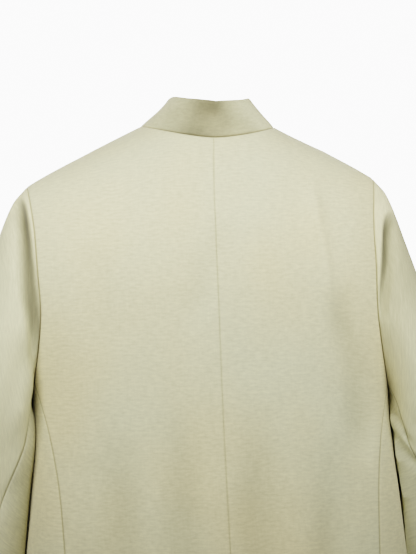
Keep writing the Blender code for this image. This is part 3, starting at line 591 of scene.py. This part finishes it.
def sleeve_pieces(side):
    """The whole sleeve as one tube of meridians from the armhole, parted at its two seams."""
    back = on_face(*edge_curve(BACK_ARMHOLE, "back", F_BACK_ARM), "back")
    front = on_face(*edge_curve(FRONT_ARMHOLE, "front", F_FRONT_ARM), "front")
    under = side_top()
    start = np.concatenate([back, front[::-1][1:], under[::-1][1:]])
    turn = np.concatenate([SLEEVE_BACK_SEAM * (1 - F_BACK_ARM),
                           360 + (SLEEVE_FRONT_SEAM - 360) * (1 - F_FRONT_ARM[::-1][1:]),
                           SLEEVE_FRONT_SEAM + (SLEEVE_BACK_SEAM - SLEEVE_FRONT_SEAM) * (1 - F_UNDER[::-1][1:])])
    bicep, d = ring(BICEP_Z, turn_at(turn, BICEP_Z, side))
    head = {k: curve(SLEEVE_HEAD, k, "round") for k in ("outward", "pull")}
    span = np.linalg.norm(bicep - start, axis=1, keepdims=True)
    o, pull = head["outward"](turn)[:, None], head["pull"](turn)[:, None]
    swing = np.stack([np.ones(len(turn)), 0.30 * np.sin(np.radians(turn)), -0.25 + 0 * turn], axis=1)
    t0 = unit(o * unit(swing) + (1 - o) * d) * span * pull * 2
    t1 = unit(ring(BICEP_Z - 0.012, turn_at(turn, BICEP_Z - 0.012, side))[0] - bicep) * span
    rows = [(2 * t ** 3 - 3 * t ** 2 + 1) * start + (t ** 3 - 2 * t ** 2 + t) * t0
            + (3 * t ** 2 - 2 * t ** 3) * bicep + (t ** 3 - t ** 2) * t1 for t in HEAD_SHARE]
    length = BICEP_Z - SLEEVE["z"][-1]
    rows += [ring(BICEP_Z - length * f, turn_at(turn, BICEP_Z - length * f, side))[0]
             for f in fractions(length, (False, True))[1:]]
    p = np.array(rows)
    down = np.concatenate([[0 * p[0, :, 0]], np.cumsum(np.linalg.norm(np.diff(p, axis=0), axis=2), axis=0)])
    p = off_body(fullness(p, down, turn, side), down * smooth((-0.285 - p[..., 2]) / 0.04))
    p[0] = start
    # normals round the closed tube
    loop = np.concatenate([p[:, -2:-1], p, p[:, 1:2]], axis=1)
    n = unit(np.cross((loop[:, 2:] - loop[:, :-2]), np.gradient(p, axis=0)))
    n = n if (n * (p - p.mean(axis=1, keepdims=True))).sum() > 0 else -n
    # the break beside the back armhole seam
    br = {k: curve(SLEEVE_BREAK[side], k) for k in ("edge", "fall", "rise", "depth", "shade", "dark", "beyond")}
    z = p[..., 2]
    off = p[..., 0] - curve(BACK_ARMHOLE, "x")(np.clip(z, BACK_ARMHOLE["z"][-1], BACK_ARMHOLE["z"][0])) - br["edge"](z)
    shape = smooth(off / br["fall"](z)) * (1 - smooth((off - br["fall"](z)) / br["rise"](z)))
    inside = (z < SLEEVE_BREAK[side]["z"][0]) & (z > SLEEVE_BREAK[side]["z"][-1])
    behind = smooth((n[..., 1] - 0.05) / 0.25)
    relief = -br["depth"](z) * shape * inside * behind
    # painted shade: the break's colour darkened along its hollow, and the cloth beyond it darkened more faintly
    shade = br["shade"](z)
    near = off + br["edge"](z) - br["dark"](z)
    hollow = smooth(near / (0.35 * shade)) * (1 - smooth((near - 0.40 * shade) / (0.75 * shade)))
    hollow = np.clip(BREAK_PAINTED_SHADE * br["depth"](z) * hollow * inside * behind, 0, 1)
    low = 1 - smooth((SLEEVE_BREAK[side]["z"][-1] - z) / 0.06)
    beyond = br["beyond"](z) * smooth(off / (0.5 * shade)) * low * (z < SLEEVE_BREAK[side]["z"][0]) * behind
    hollow = np.maximum(hollow, beyond)
    # creases round the sleeve, in metres round and along
    round_m = 0.058 * np.radians(np.broadcast_to(turn, z.shape))
    for c in SLEEVE_CREASES:
        if c["side"] in (0, side):
            path = tuple((0.058 * math.radians(a), h) for a, h in c["path"])
            for shift in (0.0, 2 * math.pi * 0.058):
                relief = relief + crease(round_m + shift - 0.0, z, path, c["width"], c["depth"], c["fade"]) \
                    * (smooth(down / 0.02))
    grain = 0.0007 * soft_noise(round_m * 22 + 4 + side, down * 15 + 3, 16) \
        + 0.0003 * soft_noise(round_m * 60 + 2, down * 46 + side, 17)
    relief = relief + grain * smooth(down / 0.02)
    relief[:, -1] = relief[:, 0]
    g = warp(mirrored(p, side))
    nn = n.copy()
    nn[..., 0] *= side
    cut = len(back) + len(front) - 2
    u = np.broadcast_to(round_m, z.shape) * side + 3.6
    out = []
    for a, b in ((0, cut + 1), (cut, p.shape[1])):
        out.append({"grid": g[:, a:b], "normal": nn[:, a:b], "relief": relief[:, a:b], "hollow": hollow[:, a:b],
                    "uv": (u[:, a:b], -down[:, a:b]), "seams": (0.8, 0.0, 0.9, 0.9)})
    return out


def collar_piece():
    halves, us = [], []
    rows_t = fractions(0.044)
    for side in (-1, 1):
        back = on_face(*neck_curve("back", F_NECK_BACK), "back")
        front = front_point(*neck_curve("front", F_NECK_FRONT), side)
        base = np.concatenate([back, front[::-1][1:]])
        s = np.concatenate([[0], np.cumsum(np.linalg.norm(np.diff(base, axis=0), axis=1))])
        turn = 180 * s / s[-1]
        a = np.radians(turn)
        mid, half = (COLLAR_TOP_BACK + COLLAR_TOP_FRONT) / 2, (COLLAR_TOP_BACK - COLLAR_TOP_FRONT) / 2
        top = np.stack([COLLAR_TOP_HALF * np.sin(a), mid + half * np.cos(a),
                        curve(COLLAR_TOP, "height", "round")(turn)], axis=1)
        top[:, 1] -= float(lap_step(np.zeros(1), side)[0]) * smooth((turn - 150) / 30)
        out = unit(np.stack([np.sin(a), np.cos(a), 0 * a], axis=1))
        rows = []
        for t in rows_t:
            p = base * (1 - t) + top * t - out * COLLAR_BOW * 4 * t * (1 - t) * np.sin(a)[:, None] ** 2
            p[:, 0] = np.maximum(p[:, 0], COLLAR_END_GAP * smooth(t * 12) * smooth((turn - 150) / 30))
            rows.append(p)
        halves.append(mirrored(np.array(rows), side))
        us.append(s * side)
    right, left = halves
    g = warp(np.concatenate([right[:, ::-1], left[:, 1:]], axis=1))
    u = np.concatenate([us[0][::-1], us[1][1:]])
    n = unit(np.cross(np.gradient(g, axis=1), np.gradient(g, axis=0)))
    centre = np.stack([0 * g[..., 0], 0 * g[..., 1], g[..., 2] - 0.02], axis=-1)
    n = n if (n * (g - centre)).sum() > 0 else -n
    uu = np.broadcast_to(u, g.shape[:2])
    vv = np.broadcast_to(rows_t[:, None] * 0.044, g.shape[:2])
    relief = 0.0010 * soft_noise(uu * 22 + 30, vv * 18 + 2, 18) * smooth(vv / 0.01)
    # painted shade: the middle of the collar's back darker, and a small darker patch low on the wearer's right
    hollow = 0.84 * np.exp(-(np.abs(uu - 0.018) / 0.058) ** 2.4) * (0.95 + 0.20 * soft_noise(uu * 40 + 9, vv * 55 + 4, 21))
    hollow = hollow + 0.20 * np.exp(-((uu + 0.052) / 0.016) ** 2) * smooth(1 - vv / 0.036)
    relief = relief - 0.0016 * np.exp(-((uu - 0.016) / 0.050) ** 2) * smooth(vv / 0.012)
    return {"grid": g, "normal": n, "relief": relief, "uv": (uu + 5.2, vv), "seams": (1.0, 0.0, 0.0, 0.0),
            "wall": COLLAR_WALL, "hollow": hollow}


# ------------------------------------------------------------------ shells
def rim(shape):
    h, w = shape
    return np.array([(0, j) for j in range(w)] + [(i, w - 1) for i in range(1, h)]
                    + [(h - 1, j) for j in range(w - 2, -1, -1)] + [(i, 0) for i in range(h - 2, 0, -1)])


def key(p):
    return tuple(np.round(p * 1e5).astype(int))


def edge_lines(g, n):
    h, w = g.shape[:2]
    edges = []
    for at, inner in (((0, slice(None)), (1, slice(None))), ((h - 1, slice(None)), (h - 2, slice(None))),
                      ((slice(None), 0), (slice(None), 1)), ((slice(None), w - 1), (slice(None), w - 2))):
        line = g[at]
        along = unit(np.gradient(line, axis=0))
        into = unit(np.cross(n[at], along))
        if np.sum(into * (g[inner] - line)) < 0:
            into = -into
        edges.append((along, into))
    return edges


def edge_distance(g):
    """Distance of every point from the four edges: first row, last row, first column, last column."""
    down = np.concatenate([np.zeros((1, g.shape[1])), np.cumsum(np.linalg.norm(np.diff(g, axis=0), axis=2), axis=0)])
    over = np.concatenate([np.zeros((g.shape[0], 1)), np.cumsum(np.linalg.norm(np.diff(g, axis=1), axis=2), axis=1)], axis=1)
    return down, down[-1:] - down, over, over[:, -1:] - over


def fast_mesh(name, verts, quads, uv, seam, hollow):
    mesh = bpy.data.meshes.new(name)
    mesh.vertices.add(len(verts))
    mesh.vertices.foreach_set("co", verts.astype(np.float32).ravel())
    mesh.loops.add(quads.size)
    mesh.loops.foreach_set("vertex_index", quads.astype(np.int32).ravel())
    mesh.polygons.add(len(quads))
    mesh.polygons.foreach_set("loop_start", (np.arange(len(quads)) * 4).astype(np.int32))
    layer = mesh.uv_layers.new(name="cloth")
    layer.data.foreach_set("uv", uv[quads.ravel()].astype(np.float32).ravel())
    attr = mesh.attributes.new("seam", "FLOAT", "POINT")
    attr.data.foreach_set("value", seam.astype(np.float32))
    # per-vertex weight of painted shade
    attr = mesh.attributes.new("hollow", "FLOAT", "POINT")
    attr.data.foreach_set("value", hollow.astype(np.float32))
    mesh.update(calc_edges=True)
    mesh.validate()
    mesh.shade_smooth()
    mesh.set_sharp_from_angle(angle=math.radians(50))
    return mesh


def shells(pieces):
    shared = {}
    for pc in pieces.values():
        g, n = pc["grid"], pc["normal"]
        for i, j in rim(g.shape[:2]):
            shared.setdefault(key(g[i, j]), []).append(n[i, j])
    mitre = {}
    for q, ns in shared.items():
        a = np.array(ns)
        v = np.linalg.solve(a.T @ a + 0.15 * np.eye(3), a.T @ np.full(len(a), -1.0))
        v = v / max(-np.mean(a @ v), 1e-6)
        mitre[q] = v * min(1.0, 1.9 / np.linalg.norm(v))
    made = {}
    for name, pc in pieces.items():
        g, n = pc["grid"], pc["normal"]
        wall = pc.get("wall", WALL)
        h, w = g.shape[:2]
        dist = edge_distance(g)
        dip = np.zeros((h, w))
        sewn_line = np.zeros((h, w))
        for d, sewn in zip(dist, pc["seams"]):
            dip = np.maximum(dip, (SEAM_DEPTH * sewn if sewn else EDGE_ROUND) * np.exp(-(d / SEAM_WIDTH) ** 2))
            sewn_line = np.maximum(sewn_line, sewn * np.exp(-(d / 0.0009) ** 2))
        outer = g + n * (pc["relief"] - dip)[..., None]
        facing = unit(np.cross(np.gradient(outer, axis=1), np.gradient(outer, axis=0)))
        facing = np.where((facing * n).sum(-1, keepdims=True) < 0, -facing, facing)
        facing = unit(0.6 * facing + 0.4 * n)
        inner = outer - facing * wall
        lines = edge_lines(g, n)
        for i, j in rim((h, w)):
            m = mitre[key(g[i, j])]
            move = np.zeros(3)
            for on, edge, k in ((i == 0, lines[0], j), (i == h - 1, lines[1], j), (j == 0, lines[2], i), (j == w - 1, lines[3], i)):
                if on:
                    across = unit(np.cross(edge[0][k], m))
                    move += edge[1][k] * (SEAM_GAP / 2) / max(abs(float(across @ edge[1][k])), 0.16)
            outer[i, j] = g[i, j] + move + m * dip[i, j] + n[i, j] * pc["relief"][i, j]
            inner[i, j] = outer[i, j] + m * (wall - 0.5 * dip[i, j])
        verts = np.concatenate([outer.reshape(-1, 3), inner.reshape(-1, 3)])
        index = np.arange(h * w).reshape(h, w)
        quads = np.stack([index[:-1, :-1], index[:-1, 1:], index[1:, 1:], index[1:, :-1]], axis=-1).reshape(-1, 4)
        loop = rim((h, w))
        a = loop[:, 0] * w + loop[:, 1]
        b = np.roll(a, -1)
        edge_quads = np.stack([b, a, a + h * w, b + h * w], axis=-1)
        all_quads = np.concatenate([quads, quads[:, ::-1] + h * w, edge_quads])
        grid_n = np.cross(np.gradient(g, axis=1), np.gradient(g, axis=0))
        if (grid_n * n).sum() < 0:
            all_quads = all_quads[:, ::-1]
        uv = np.stack([np.asarray(pc["uv"][0]).ravel(), np.asarray(pc["uv"][1]).ravel()], axis=1)
        uv = np.concatenate([uv, uv + 0.37])
        seam = np.concatenate([sewn_line.ravel(), 0 * sewn_line.ravel()])
        # painted shade on the outer face only
        hollow = np.asarray(pc.get("hollow", 0 * sewn_line)).ravel()
        hollow = np.concatenate([hollow, 0 * hollow])
        ob = bpy.data.objects.new("cloth_" + name, fast_mesh("cloth_" + name, verts, all_quads, uv, seam, hollow))
        bpy.context.scene.collection.objects.link(ob)
        made[name] = ob
    return made


# ------------------------------------------------------------------ materials
def node(tree, kind, **inputs):
    made = tree.nodes.new(kind)
    for k, v in inputs.items():
        made.inputs[k.replace("_", " ")].default_value = v
    return made


def cloth_material(name, tone=(1.0, 1.0, 1.0)):
    """Slubby plain weave: uneven weft streaks, finer warp, cloudy tone, thread bump and a soft nap."""
    mat = bpy.data.materials.new(name)
    mat.use_nodes = True
    t = mat.node_tree
    link = t.links.new
    bsdf = t.nodes["Principled BSDF"]
    uv = t.nodes.new("ShaderNodeUVMap")
    uv.uv_map = "cloth"

    def stretched(scale, detail, rough):
        m = t.nodes.new("ShaderNodeMapping")
        m.inputs["Scale"].default_value = scale
        link(uv.outputs["UV"], m.inputs["Vector"])
        n = t.nodes.new("ShaderNodeTexNoise")
        n.inputs["Scale"].default_value = 1.0
        n.inputs["Detail"].default_value = detail
        n.inputs["Roughness"].default_value = rough
        link(m.outputs["Vector"], n.inputs["Vector"])
        return n

    weft = stretched((118.0, 330.0, 1.0), 3.0, 0.62)
    slub = stretched((26.0, 350.0, 1.0), 2.0, 0.5)
    warpt = stretched((520.0, 60.0, 1.0), 2.0, 0.55)
    cloud = stretched((6.0, 4.0, 1.0), 2.0, 0.5)

    def ramp(source, low, high, c0, c1):
        r = t.nodes.new("ShaderNodeValToRGB")
        r.color_ramp.elements[0].position = low
        r.color_ramp.elements[1].position = high
        r.color_ramp.elements[0].color = c0
        r.color_ramp.elements[1].color = c1
        link(source.outputs["Fac"], r.inputs["Fac"])
        return r

    # a tone above one gives a painted-light copy of the one cloth
    base = np.array(CLOTH_COLOUR) * np.array(tone)
    dark, light = base * 0.885, np.minimum(base * 1.10, 1)
    ground = ramp(weft, 0.30, 0.70, (*dark, 1), (*light, 1))
    tint = ramp(cloud, 0.32, 0.68, (1.015, 0.971, 0.916, 1), (0.955, 0.988, 1.018, 1))
    slubs = ramp(slub, 0.54, 0.76, (0.99, 0.99, 0.99, 1), (1.05, 1.045, 1.03, 1))
    ends = ramp(warpt, 0.35, 0.72, (0.975, 0.975, 0.97, 1), (1.02, 1.02, 1.02, 1))

    def multiply(a, b, fac=1.0):
        m = t.nodes.new("ShaderNodeMix")
        m.data_type = "RGBA"
        m.blend_type = "MULTIPLY"
        m.inputs["Factor"].default_value = fac
        link(a, m.inputs["A"])
        link(b, m.inputs["B"])
        return m.outputs["Result"]

    colour = multiply(ground.outputs["Color"], tint.outputs["Color"])
    colour = multiply(colour, slubs.outputs["Color"])
    colour = multiply(colour, ends.outputs["Color"])
    seam = t.nodes.new("ShaderNodeAttribute")
    seam.attribute_name = "seam"
    shade = t.nodes.new("ShaderNodeValToRGB")
    shade.color_ramp.elements[0].color = (1, 1, 1, 1)
    shade.color_ramp.elements[1].color = (0.46, 0.43, 0.35, 1)
    link(seam.outputs["Fac"], shade.inputs["Fac"])
    colour = multiply(colour, shade.outputs["Color"])
    # painted shade: colour darkened by the per-vertex shade weight of folds, the sleeve's break and the collar's middle
    hollow = t.nodes.new("ShaderNodeAttribute")
    hollow.attribute_name = "hollow"
    painted_shade_ramp = t.nodes.new("ShaderNodeValToRGB")
    painted_shade_ramp.color_ramp.elements[0].color = (1, 1, 1, 1)
    painted_shade_ramp.color_ramp.elements[1].color = (0.20, 0.195, 0.165, 1)
    link(hollow.outputs["Fac"], painted_shade_ramp.inputs["Fac"])
    colour = multiply(colour, painted_shade_ramp.outputs["Color"])
    link(colour, bsdf.inputs["Base Color"])

    # thread relief: weft and warp threads over each other
    def threads(direction, pitch):
        m = t.nodes.new("ShaderNodeMapping")
        link(uv.outputs["UV"], m.inputs["Vector"])
        wv = t.nodes.new("ShaderNodeTexWave")
        wv.wave_type = "BANDS"
        wv.bands_direction = direction
        wv.inputs["Scale"].default_value = math.pi / (10 * pitch)
        wv.inputs["Distortion"].default_value = 1.4
        wv.inputs["Detail"].default_value = 2.0
        wv.inputs["Detail Scale"].default_value = 0.6
        link(m.outputs["Vector"], wv.inputs["Vector"])
        return wv

    wx, wy = threads("X", 0.00085), threads("Y", 0.00075)
    weave = t.nodes.new("ShaderNodeMath")
    weave.operation = "ADD"
    link(wx.outputs["Fac"], weave.inputs[0])
    link(wy.outputs["Fac"], weave.inputs[1])
    lumps = t.nodes.new("ShaderNodeMath")
    lumps.operation = "ADD"
    link(weave.outputs["Value"], lumps.inputs[0])
    link(slub.outputs["Fac"], lumps.inputs[1])
    bump = t.nodes.new("ShaderNodeBump")
    bump.inputs["Strength"].default_value = 0.35
    bump.inputs["Distance"].default_value = 0.00022
    link(lumps.outputs["Value"], bump.inputs["Height"])
    link(bump.outputs["Normal"], bsdf.inputs["Normal"])

    rough = t.nodes.new("ShaderNodeMapRange")
    rough.inputs["To Min"].default_value = 0.74
    rough.inputs["To Max"].default_value = 0.92
    link(weft.outputs["Fac"], rough.inputs["Value"])
    link(rough.outputs["Result"], bsdf.inputs["Roughness"])
    bsdf.inputs["Specular IOR Level"].default_value = 0.28
    bsdf.inputs["Sheen Weight"].default_value = 0.18
    bsdf.inputs["Sheen Roughness"].default_value = 0.55
    bsdf.inputs["Sheen Tint"].default_value = (1.0, 0.99, 0.96, 1)
    return mat


CLOTH_COLOUR = (0.628, 0.592, 0.368)


def button_material():
    mat = bpy.data.materials.new("button_resin")
    mat.use_nodes = True
    t = mat.node_tree
    link = t.links.new
    bsdf = t.nodes["Principled BSDF"]
    co = t.nodes.new("ShaderNodeTexCoord")
    n = t.nodes.new("ShaderNodeTexNoise")
    n.inputs["Scale"].default_value = 160.0
    n.inputs["Detail"].default_value = 4.0
    n.inputs["Distortion"].default_value = 1.6
    link(co.outputs["Object"], n.inputs["Vector"])
    r = t.nodes.new("ShaderNodeValToRGB")
    r.color_ramp.elements[0].position = 0.36
    r.color_ramp.elements[1].position = 0.66
    r.color_ramp.elements[0].color = (0.30, 0.265, 0.175, 1)
    r.color_ramp.elements[1].color = (0.50, 0.465, 0.345, 1)
    link(n.outputs["Fac"], r.inputs["Fac"])
    link(r.outputs["Color"], bsdf.inputs["Base Color"])
    m = t.nodes.new("ShaderNodeMapRange")
    m.inputs["To Min"].default_value = 0.28
    m.inputs["To Max"].default_value = 0.48
    link(n.outputs["Fac"], m.inputs["Value"])
    link(m.outputs["Result"], bsdf.inputs["Roughness"])
    return mat


def floor_material():
    mat = bpy.data.materials.new("pale_floor")
    mat.use_nodes = True
    t = mat.node_tree
    bsdf = t.nodes["Principled BSDF"]
    co = t.nodes.new("ShaderNodeTexCoord")
    n = t.nodes.new("ShaderNodeTexNoise")
    n.inputs["Scale"].default_value = 3.0
    n.inputs["Detail"].default_value = 3.0
    r = t.nodes.new("ShaderNodeValToRGB")
    r.color_ramp.elements[0].color = (0.80, 0.80, 0.80, 1)
    r.color_ramp.elements[1].color = (0.84, 0.84, 0.84, 1)
    t.links.new(co.outputs["Object"], n.inputs["Vector"])
    t.links.new(n.outputs["Fac"], r.inputs["Fac"])
    t.links.new(r.outputs["Color"], bsdf.inputs["Base Color"])
    bsdf.inputs["Roughness"].default_value = 0.9
    t.links.new(r.outputs["Color"], bsdf.inputs["Emission Color"])
    bsdf.inputs["Emission Strength"].default_value = 0.85
    return mat


# ------------------------------------------------------------------ buttons
def tube(points, radius, sides=8):
    """A closed little tube along points, with ends capped."""
    pts = np.asarray(points, float)
    tan = unit(np.gradient(pts, axis=0))
    ref = np.array([0.13, 0.31, 0.94])
    a = unit(np.cross(tan, ref))
    b = np.cross(tan, a)
    verts, quads = [], []
    for k in range(len(pts)):
        for s in range(sides):
            f = 2 * math.pi * s / sides
            verts.append(pts[k] + radius * (math.cos(f) * a[k] + math.sin(f) * b[k]))
    for k in range(len(pts) - 1):
        for s in range(sides):
            m = (s + 1) % sides
            quads.append((k * sides + s, k * sides + m, (k + 1) * sides + m, (k + 1) * sides + s))
    caps = [tuple(reversed(range(sides))), tuple(range((len(pts) - 1) * sides, len(pts) * sides))]
    return verts, quads + caps


def plain_object(name, verts, faces, mat, smooth_angle=40):
    mesh = bpy.data.meshes.new(name)
    mesh.from_pydata([tuple(map(float, v)) for v in verts], [], [tuple(f) for f in faces])
    mesh.validate()
    mesh.update()
    mesh.shade_smooth()
    mesh.set_sharp_from_angle(angle=math.radians(smooth_angle))
    ob = bpy.data.objects.new(name, mesh)
    bpy.context.scene.collection.objects.link(ob)
    ob.data.materials.append(mat)
    return ob


def add_button(k, centre, normal, resin, thread):
    z = unit(np.asarray(normal))
    x = unit(np.cross([0.0, 0.0, 1.0], z))
    y = np.cross(z, x)
    R, T, n = BUTTON_R, BUTTON_T, 56
    profile = ((R * 0.90, 0.0), (R * 0.97, T * 0.10), (R, T * 0.32), (R, T * 0.62), (R * 0.975, T * 0.84), (R * 0.93, T * 0.97),
               (R * 0.86, T), (R * 0.79, T * 0.97), (R * 0.73, T * 0.86), (R * 0.66, T * 0.74), (R * 0.50, T * 0.68))
    verts, faces = [], []
    for r, h in profile:
        for s in range(n):
            a = 2 * math.pi * s / n
            verts.append(centre + z * h + r * (x * math.cos(a) + y * math.sin(a)))
    for i in range(len(profile) - 1):
        for s in range(n):
            m = (s + 1) % n
            faces.append((i * n + s, i * n + m, (i + 1) * n + m, (i + 1) * n + s))
    faces.append(tuple(reversed(range(n))))
    faces.append(tuple(range((len(profile) - 1) * n, len(profile) * n)))
    ob = plain_object(f"turned_button_{k}", verts, faces, resin)
    # four sewing holes
    cut_v, cut_f = [], []
    holes = [(sx * R * 0.20, sy * R * 0.20) for sx in (-1, 1) for sy in (-1, 1)]
    for hx, hy in holes:
        first = len(cut_v)
        for h in (-T * 0.5, T * 1.6):
            for s in range(16):
                a = 2 * math.pi * s / 16
                cut_v.append(centre + z * h + x * (hx + R * 0.085 * math.cos(a)) + y * (hy + R * 0.085 * math.sin(a)))
        for s in range(16):
            m = (s + 1) % 16
            cut_f.append((first + s, first + m, first + 16 + m, first + 16 + s))
        cut_f.append(tuple(reversed(range(first, first + 16))))
        cut_f.append(tuple(range(first + 16, first + 32)))
    cutter = plain_object(f"cut_{k}", cut_v, cut_f, resin)
    mod = ob.modifiers.new("holes", "BOOLEAN")
    mod.operation = "DIFFERENCE"
    mod.object = cutter
    dg = bpy.context.evaluated_depsgraph_get()
    done = bpy.data.meshes.new_from_object(ob.evaluated_get(dg))
    ob.modifiers.clear()
    ob.data = done
    bpy.data.objects.remove(cutter, do_unlink=True)
    # crossed sewing thread
    tv, tf = [], []
    for (ax, ay), (bx, by) in ((holes[0], holes[3]), (holes[1], holes[2])):
        for strand in (-0.00022, 0.00022):
            side = unit(np.array([-(by - ay), bx - ax]))
            pts = []
            for f in np.linspace(0, 1, 9):
                lift = T * 0.69 + 0.00034 + 0.00035 * math.sin(math.pi * f) - (0.0011 if f in (0.0, 1.0) else 0)
                px, py = ax + (bx - ax) * f + side[0] * strand, ay + (by - ay) * f + side[1] * strand
                pts.append(centre + x * px + y * py + z * lift)
            v, f4 = tube(pts, 0.00021, 6)
            tf += [tuple(q + len(tv) for q in f) for f in f4]
            tv += v
    sewn = plain_object(f"button_thread_{k}", tv, tf, thread, 80)
    return ob, sewn


def add_buttonhole(k, at, thread):
    """Close thread stitches round the slit that the button passes through."""
    half, gap, n = 0.0118, 0.0011, 46
    tv, tf = [], []
    for row in (-1, 1):
        for i in range(n):
            f = -half + 2 * half * (i + 0.5) / n
            pts = []
            for g in np.linspace(0.0001, 0.0016, 5):
                lift = 0.00012 + 0.00028 * math.sin(math.pi * (g - 0.0001) / 0.0015)
                pts.append(at(f, row * g, lift))
            v, f4 = tube(pts, 0.00021, 5)
            tf += [tuple(q + len(tv) for q in face) for face in f4]
            tv += v
    return plain_object(f"buttonhole_{k}", tv, tf, thread, 80)


def thread_material():
    mat = bpy.data.materials.new("sewing_thread")
    mat.use_nodes = True
    t = mat.node_tree
    bsdf = t.nodes["Principled BSDF"]
    co = t.nodes.new("ShaderNodeTexCoord")
    w = t.nodes.new("ShaderNodeTexWave")
    w.inputs["Scale"].default_value = 900.0
    w.inputs["Distortion"].default_value = 2.0
    r = t.nodes.new("ShaderNodeValToRGB")
    r.color_ramp.elements[0].color = (0.42, 0.385, 0.27, 1)
    r.color_ramp.elements[1].color = (0.56, 0.53, 0.40, 1)
    t.links.new(co.outputs["Object"], w.inputs["Vector"])
    t.links.new(w.outputs["Fac"], r.inputs["Fac"])
    t.links.new(r.outputs["Color"], bsdf.inputs["Base Color"])
    bsdf.inputs["Roughness"].default_value = 0.7
    return mat


# ------------------------------------------------------------------ camera
CAMERA_YAW = 173.0       # degrees round from the front
CAMERA_FAR = 3.0         # metres from the garment's middle
CAMERA_UP = -0.181
CAMERA_ASIDE = 0.0085
CAMERA_ROLL = 1.0        # degrees
PIXEL_M = 0.0012145      # metres a pixel at the garment's middle
WIDTH_PX = 416.0


def add_camera():
    a = math.radians(CAMERA_YAW)
    look = Vector((-math.sin(a), math.cos(a), 0.0))
    right = Vector((look.y, -look.x, 0.0))
    place = -look * CAMERA_FAR + Vector((0, 0, CAMERA_UP)) + right * CAMERA_ASIDE
    data = bpy.data.cameras.new("camera")
    data.sensor_fit = "HORIZONTAL"
    data.sensor_width = 36.0
    data.lens = 36.0 * (CAMERA_FAR / PIXEL_M) / WIDTH_PX
    data.clip_end = 60
    ob = bpy.data.objects.new("camera", data)
    bpy.context.scene.collection.objects.link(ob)
    turn = Matrix((right, Vector((0, 0, 1)), -look)).transposed().to_4x4()
    ob.matrix_world = Matrix.Translation(place) @ turn @ Matrix.Rotation(math.radians(-CAMERA_ROLL), 4, "Z")
    bpy.context.scene.camera = ob


def add_area(name, place, target, size, power, colour):
    data = bpy.data.lights.new(name, "AREA")
    data.shape = "RECTANGLE"
    data.size, data.size_y = size
    data.energy = power
    data.color = colour
    ob = bpy.data.objects.new(name, data)
    bpy.context.scene.collection.objects.link(ob)
    ob.location = place
    ob.visible_camera = False
    ob.rotation_euler = (Vector(target) - Vector(place)).to_track_quat("-Z", "Y").to_euler()


def add_light():
    for name, side, power in (("left", 1, 10.2), ("right", -1, 8.8)):
        add_area(f"back_softbox_{name}", (side * 0.60, 0.62, 0.18), (side * 0.14, 0.08, 0.02), (0.9, 0.25), power, (1.0, 1.0, 1.0))
    add_area("front_softbox", (0.0, -1.75, 0.45), (0.0, 0.0, -0.30), (1.5, 1.1), 46.0, (1.0, 0.99, 0.98))
    world = bpy.data.worlds.new("studio")
    bpy.context.scene.world = world
    world.use_nodes = True
    t = world.node_tree
    out = t.nodes["World Output"]
    seen = t.nodes["Background"]
    seen.inputs["Color"].default_value = (1.0, 1.0, 1.0, 1)
    seen.inputs["Strength"].default_value = 5.0
    lit = t.nodes.new("ShaderNodeBackground")
    lit.inputs["Color"].default_value = (0.95, 0.97, 0.96, 1)
    lit.inputs["Strength"].default_value = 0.052
    path = t.nodes.new("ShaderNodeLightPath")
    mix = t.nodes.new("ShaderNodeMixShader")
    t.links.new(path.outputs["Is Camera Ray"], mix.inputs["Fac"])
    t.links.new(lit.outputs["Background"], mix.inputs[1])
    t.links.new(seen.outputs["Background"], mix.inputs[2])
    t.links.new(mix.outputs["Shader"], out.inputs["Surface"])


def add_floor():
    n, r, z = 96, 3.2, -1.42
    verts = [(0, 0, z)] + [(r * math.cos(2 * math.pi * k / n), r * math.sin(2 * math.pi * k / n), z) for k in range(n)]
    faces = [(0, 1 + k, 1 + (k + 1) % n) for k in range(n)]
    ob = plain_object("floor", verts, faces, floor_material())
    ob.visible_diffuse = ob.visible_glossy = False


# ------------------------------------------------------------------ the scene
def main():
    add_camera()
    add_light()
    bpy.context.scene.view_settings.view_transform = "Filmic"
    bpy.context.scene.view_settings.look = "High Contrast"
    add_floor()
    pieces = {}
    for name, side in (("left", 1), ("right", -1)):
        pieces[f"back_{name}"] = back_piece(side)
        pieces[f"side_{name}"] = side_piece(side)
        pieces[f"front_{name}"] = front_piece(side)
        pieces[f"sleeve_top_{name}"], pieces[f"sleeve_under_{name}"] = sleeve_pieces(side)
    pieces["collar"] = collar_piece()
    cloth = cloth_material("linen_weave")
    # painted light: the sleeves' copy of the cloth lighter, the under-sleeves' lighter and bluer as if lit by a cool
    # fill
    sleeve_cloth_painted_light = cloth_material("linen_weave_sleeve_painted_light", (1.06, 1.06, 1.06))
    under_cloth_painted_light = cloth_material("linen_weave_under_painted_light", (1.06, 1.065, 1.10))
    # flat cut of each piece: width, length and area, in metres
    flat = {
        "back": (0.215, 0.745, 0.151), "side": (0.195, 0.405, 0.060), "front": (0.245, 0.750, 0.159),
        "sleeve_top": (0.265, 0.595, 0.129), "sleeve_under": (0.185, 0.370, 0.055), "collar": (0.535, 0.062, 0.023),
    }
    for name, ob in shells(pieces).items():
        ob.data.materials.append(under_cloth_painted_light if "under" in name else sleeve_cloth_painted_light if name.startswith("sleeve") else cloth)
        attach(ob, "root")
        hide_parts(name)
        w, l, area = next(v for k, v in flat.items() if name.startswith(k) and (k != "sleeve_top" or "top" in name))
    resin, thread = button_material(), thread_material()
    for k, z in enumerate(BUTTONS["z"], 1):
        def at(x_off, up, lift, z=z):
            x = np.array([-x_off])
            rise = rise_of(np.zeros(1), np.array([z]), "front") + up
            p = warp(mirrored(front_point(x, rise, -1), -1))[0]
            q = warp(mirrored(front_point(x + 0.003, rise, -1), -1))[0]
            r = warp(mirrored(front_point(x, rise + 0.003, -1), -1))[0]
            n = np.cross(q - p, r - p)
            n = unit(n if n[1] < 0 else -n)
            at.normal = n
            return p + n * lift
        centre = at(0.0, 0.0, BUTTON_GAP)
        button, sewn = add_button(k, centre, at.normal, resin, thread)
        hole = add_buttonhole(k, at, thread)
        for ob in (button, sewn, hole):
            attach(ob, "root")
        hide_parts(f"button_{k}")


main()
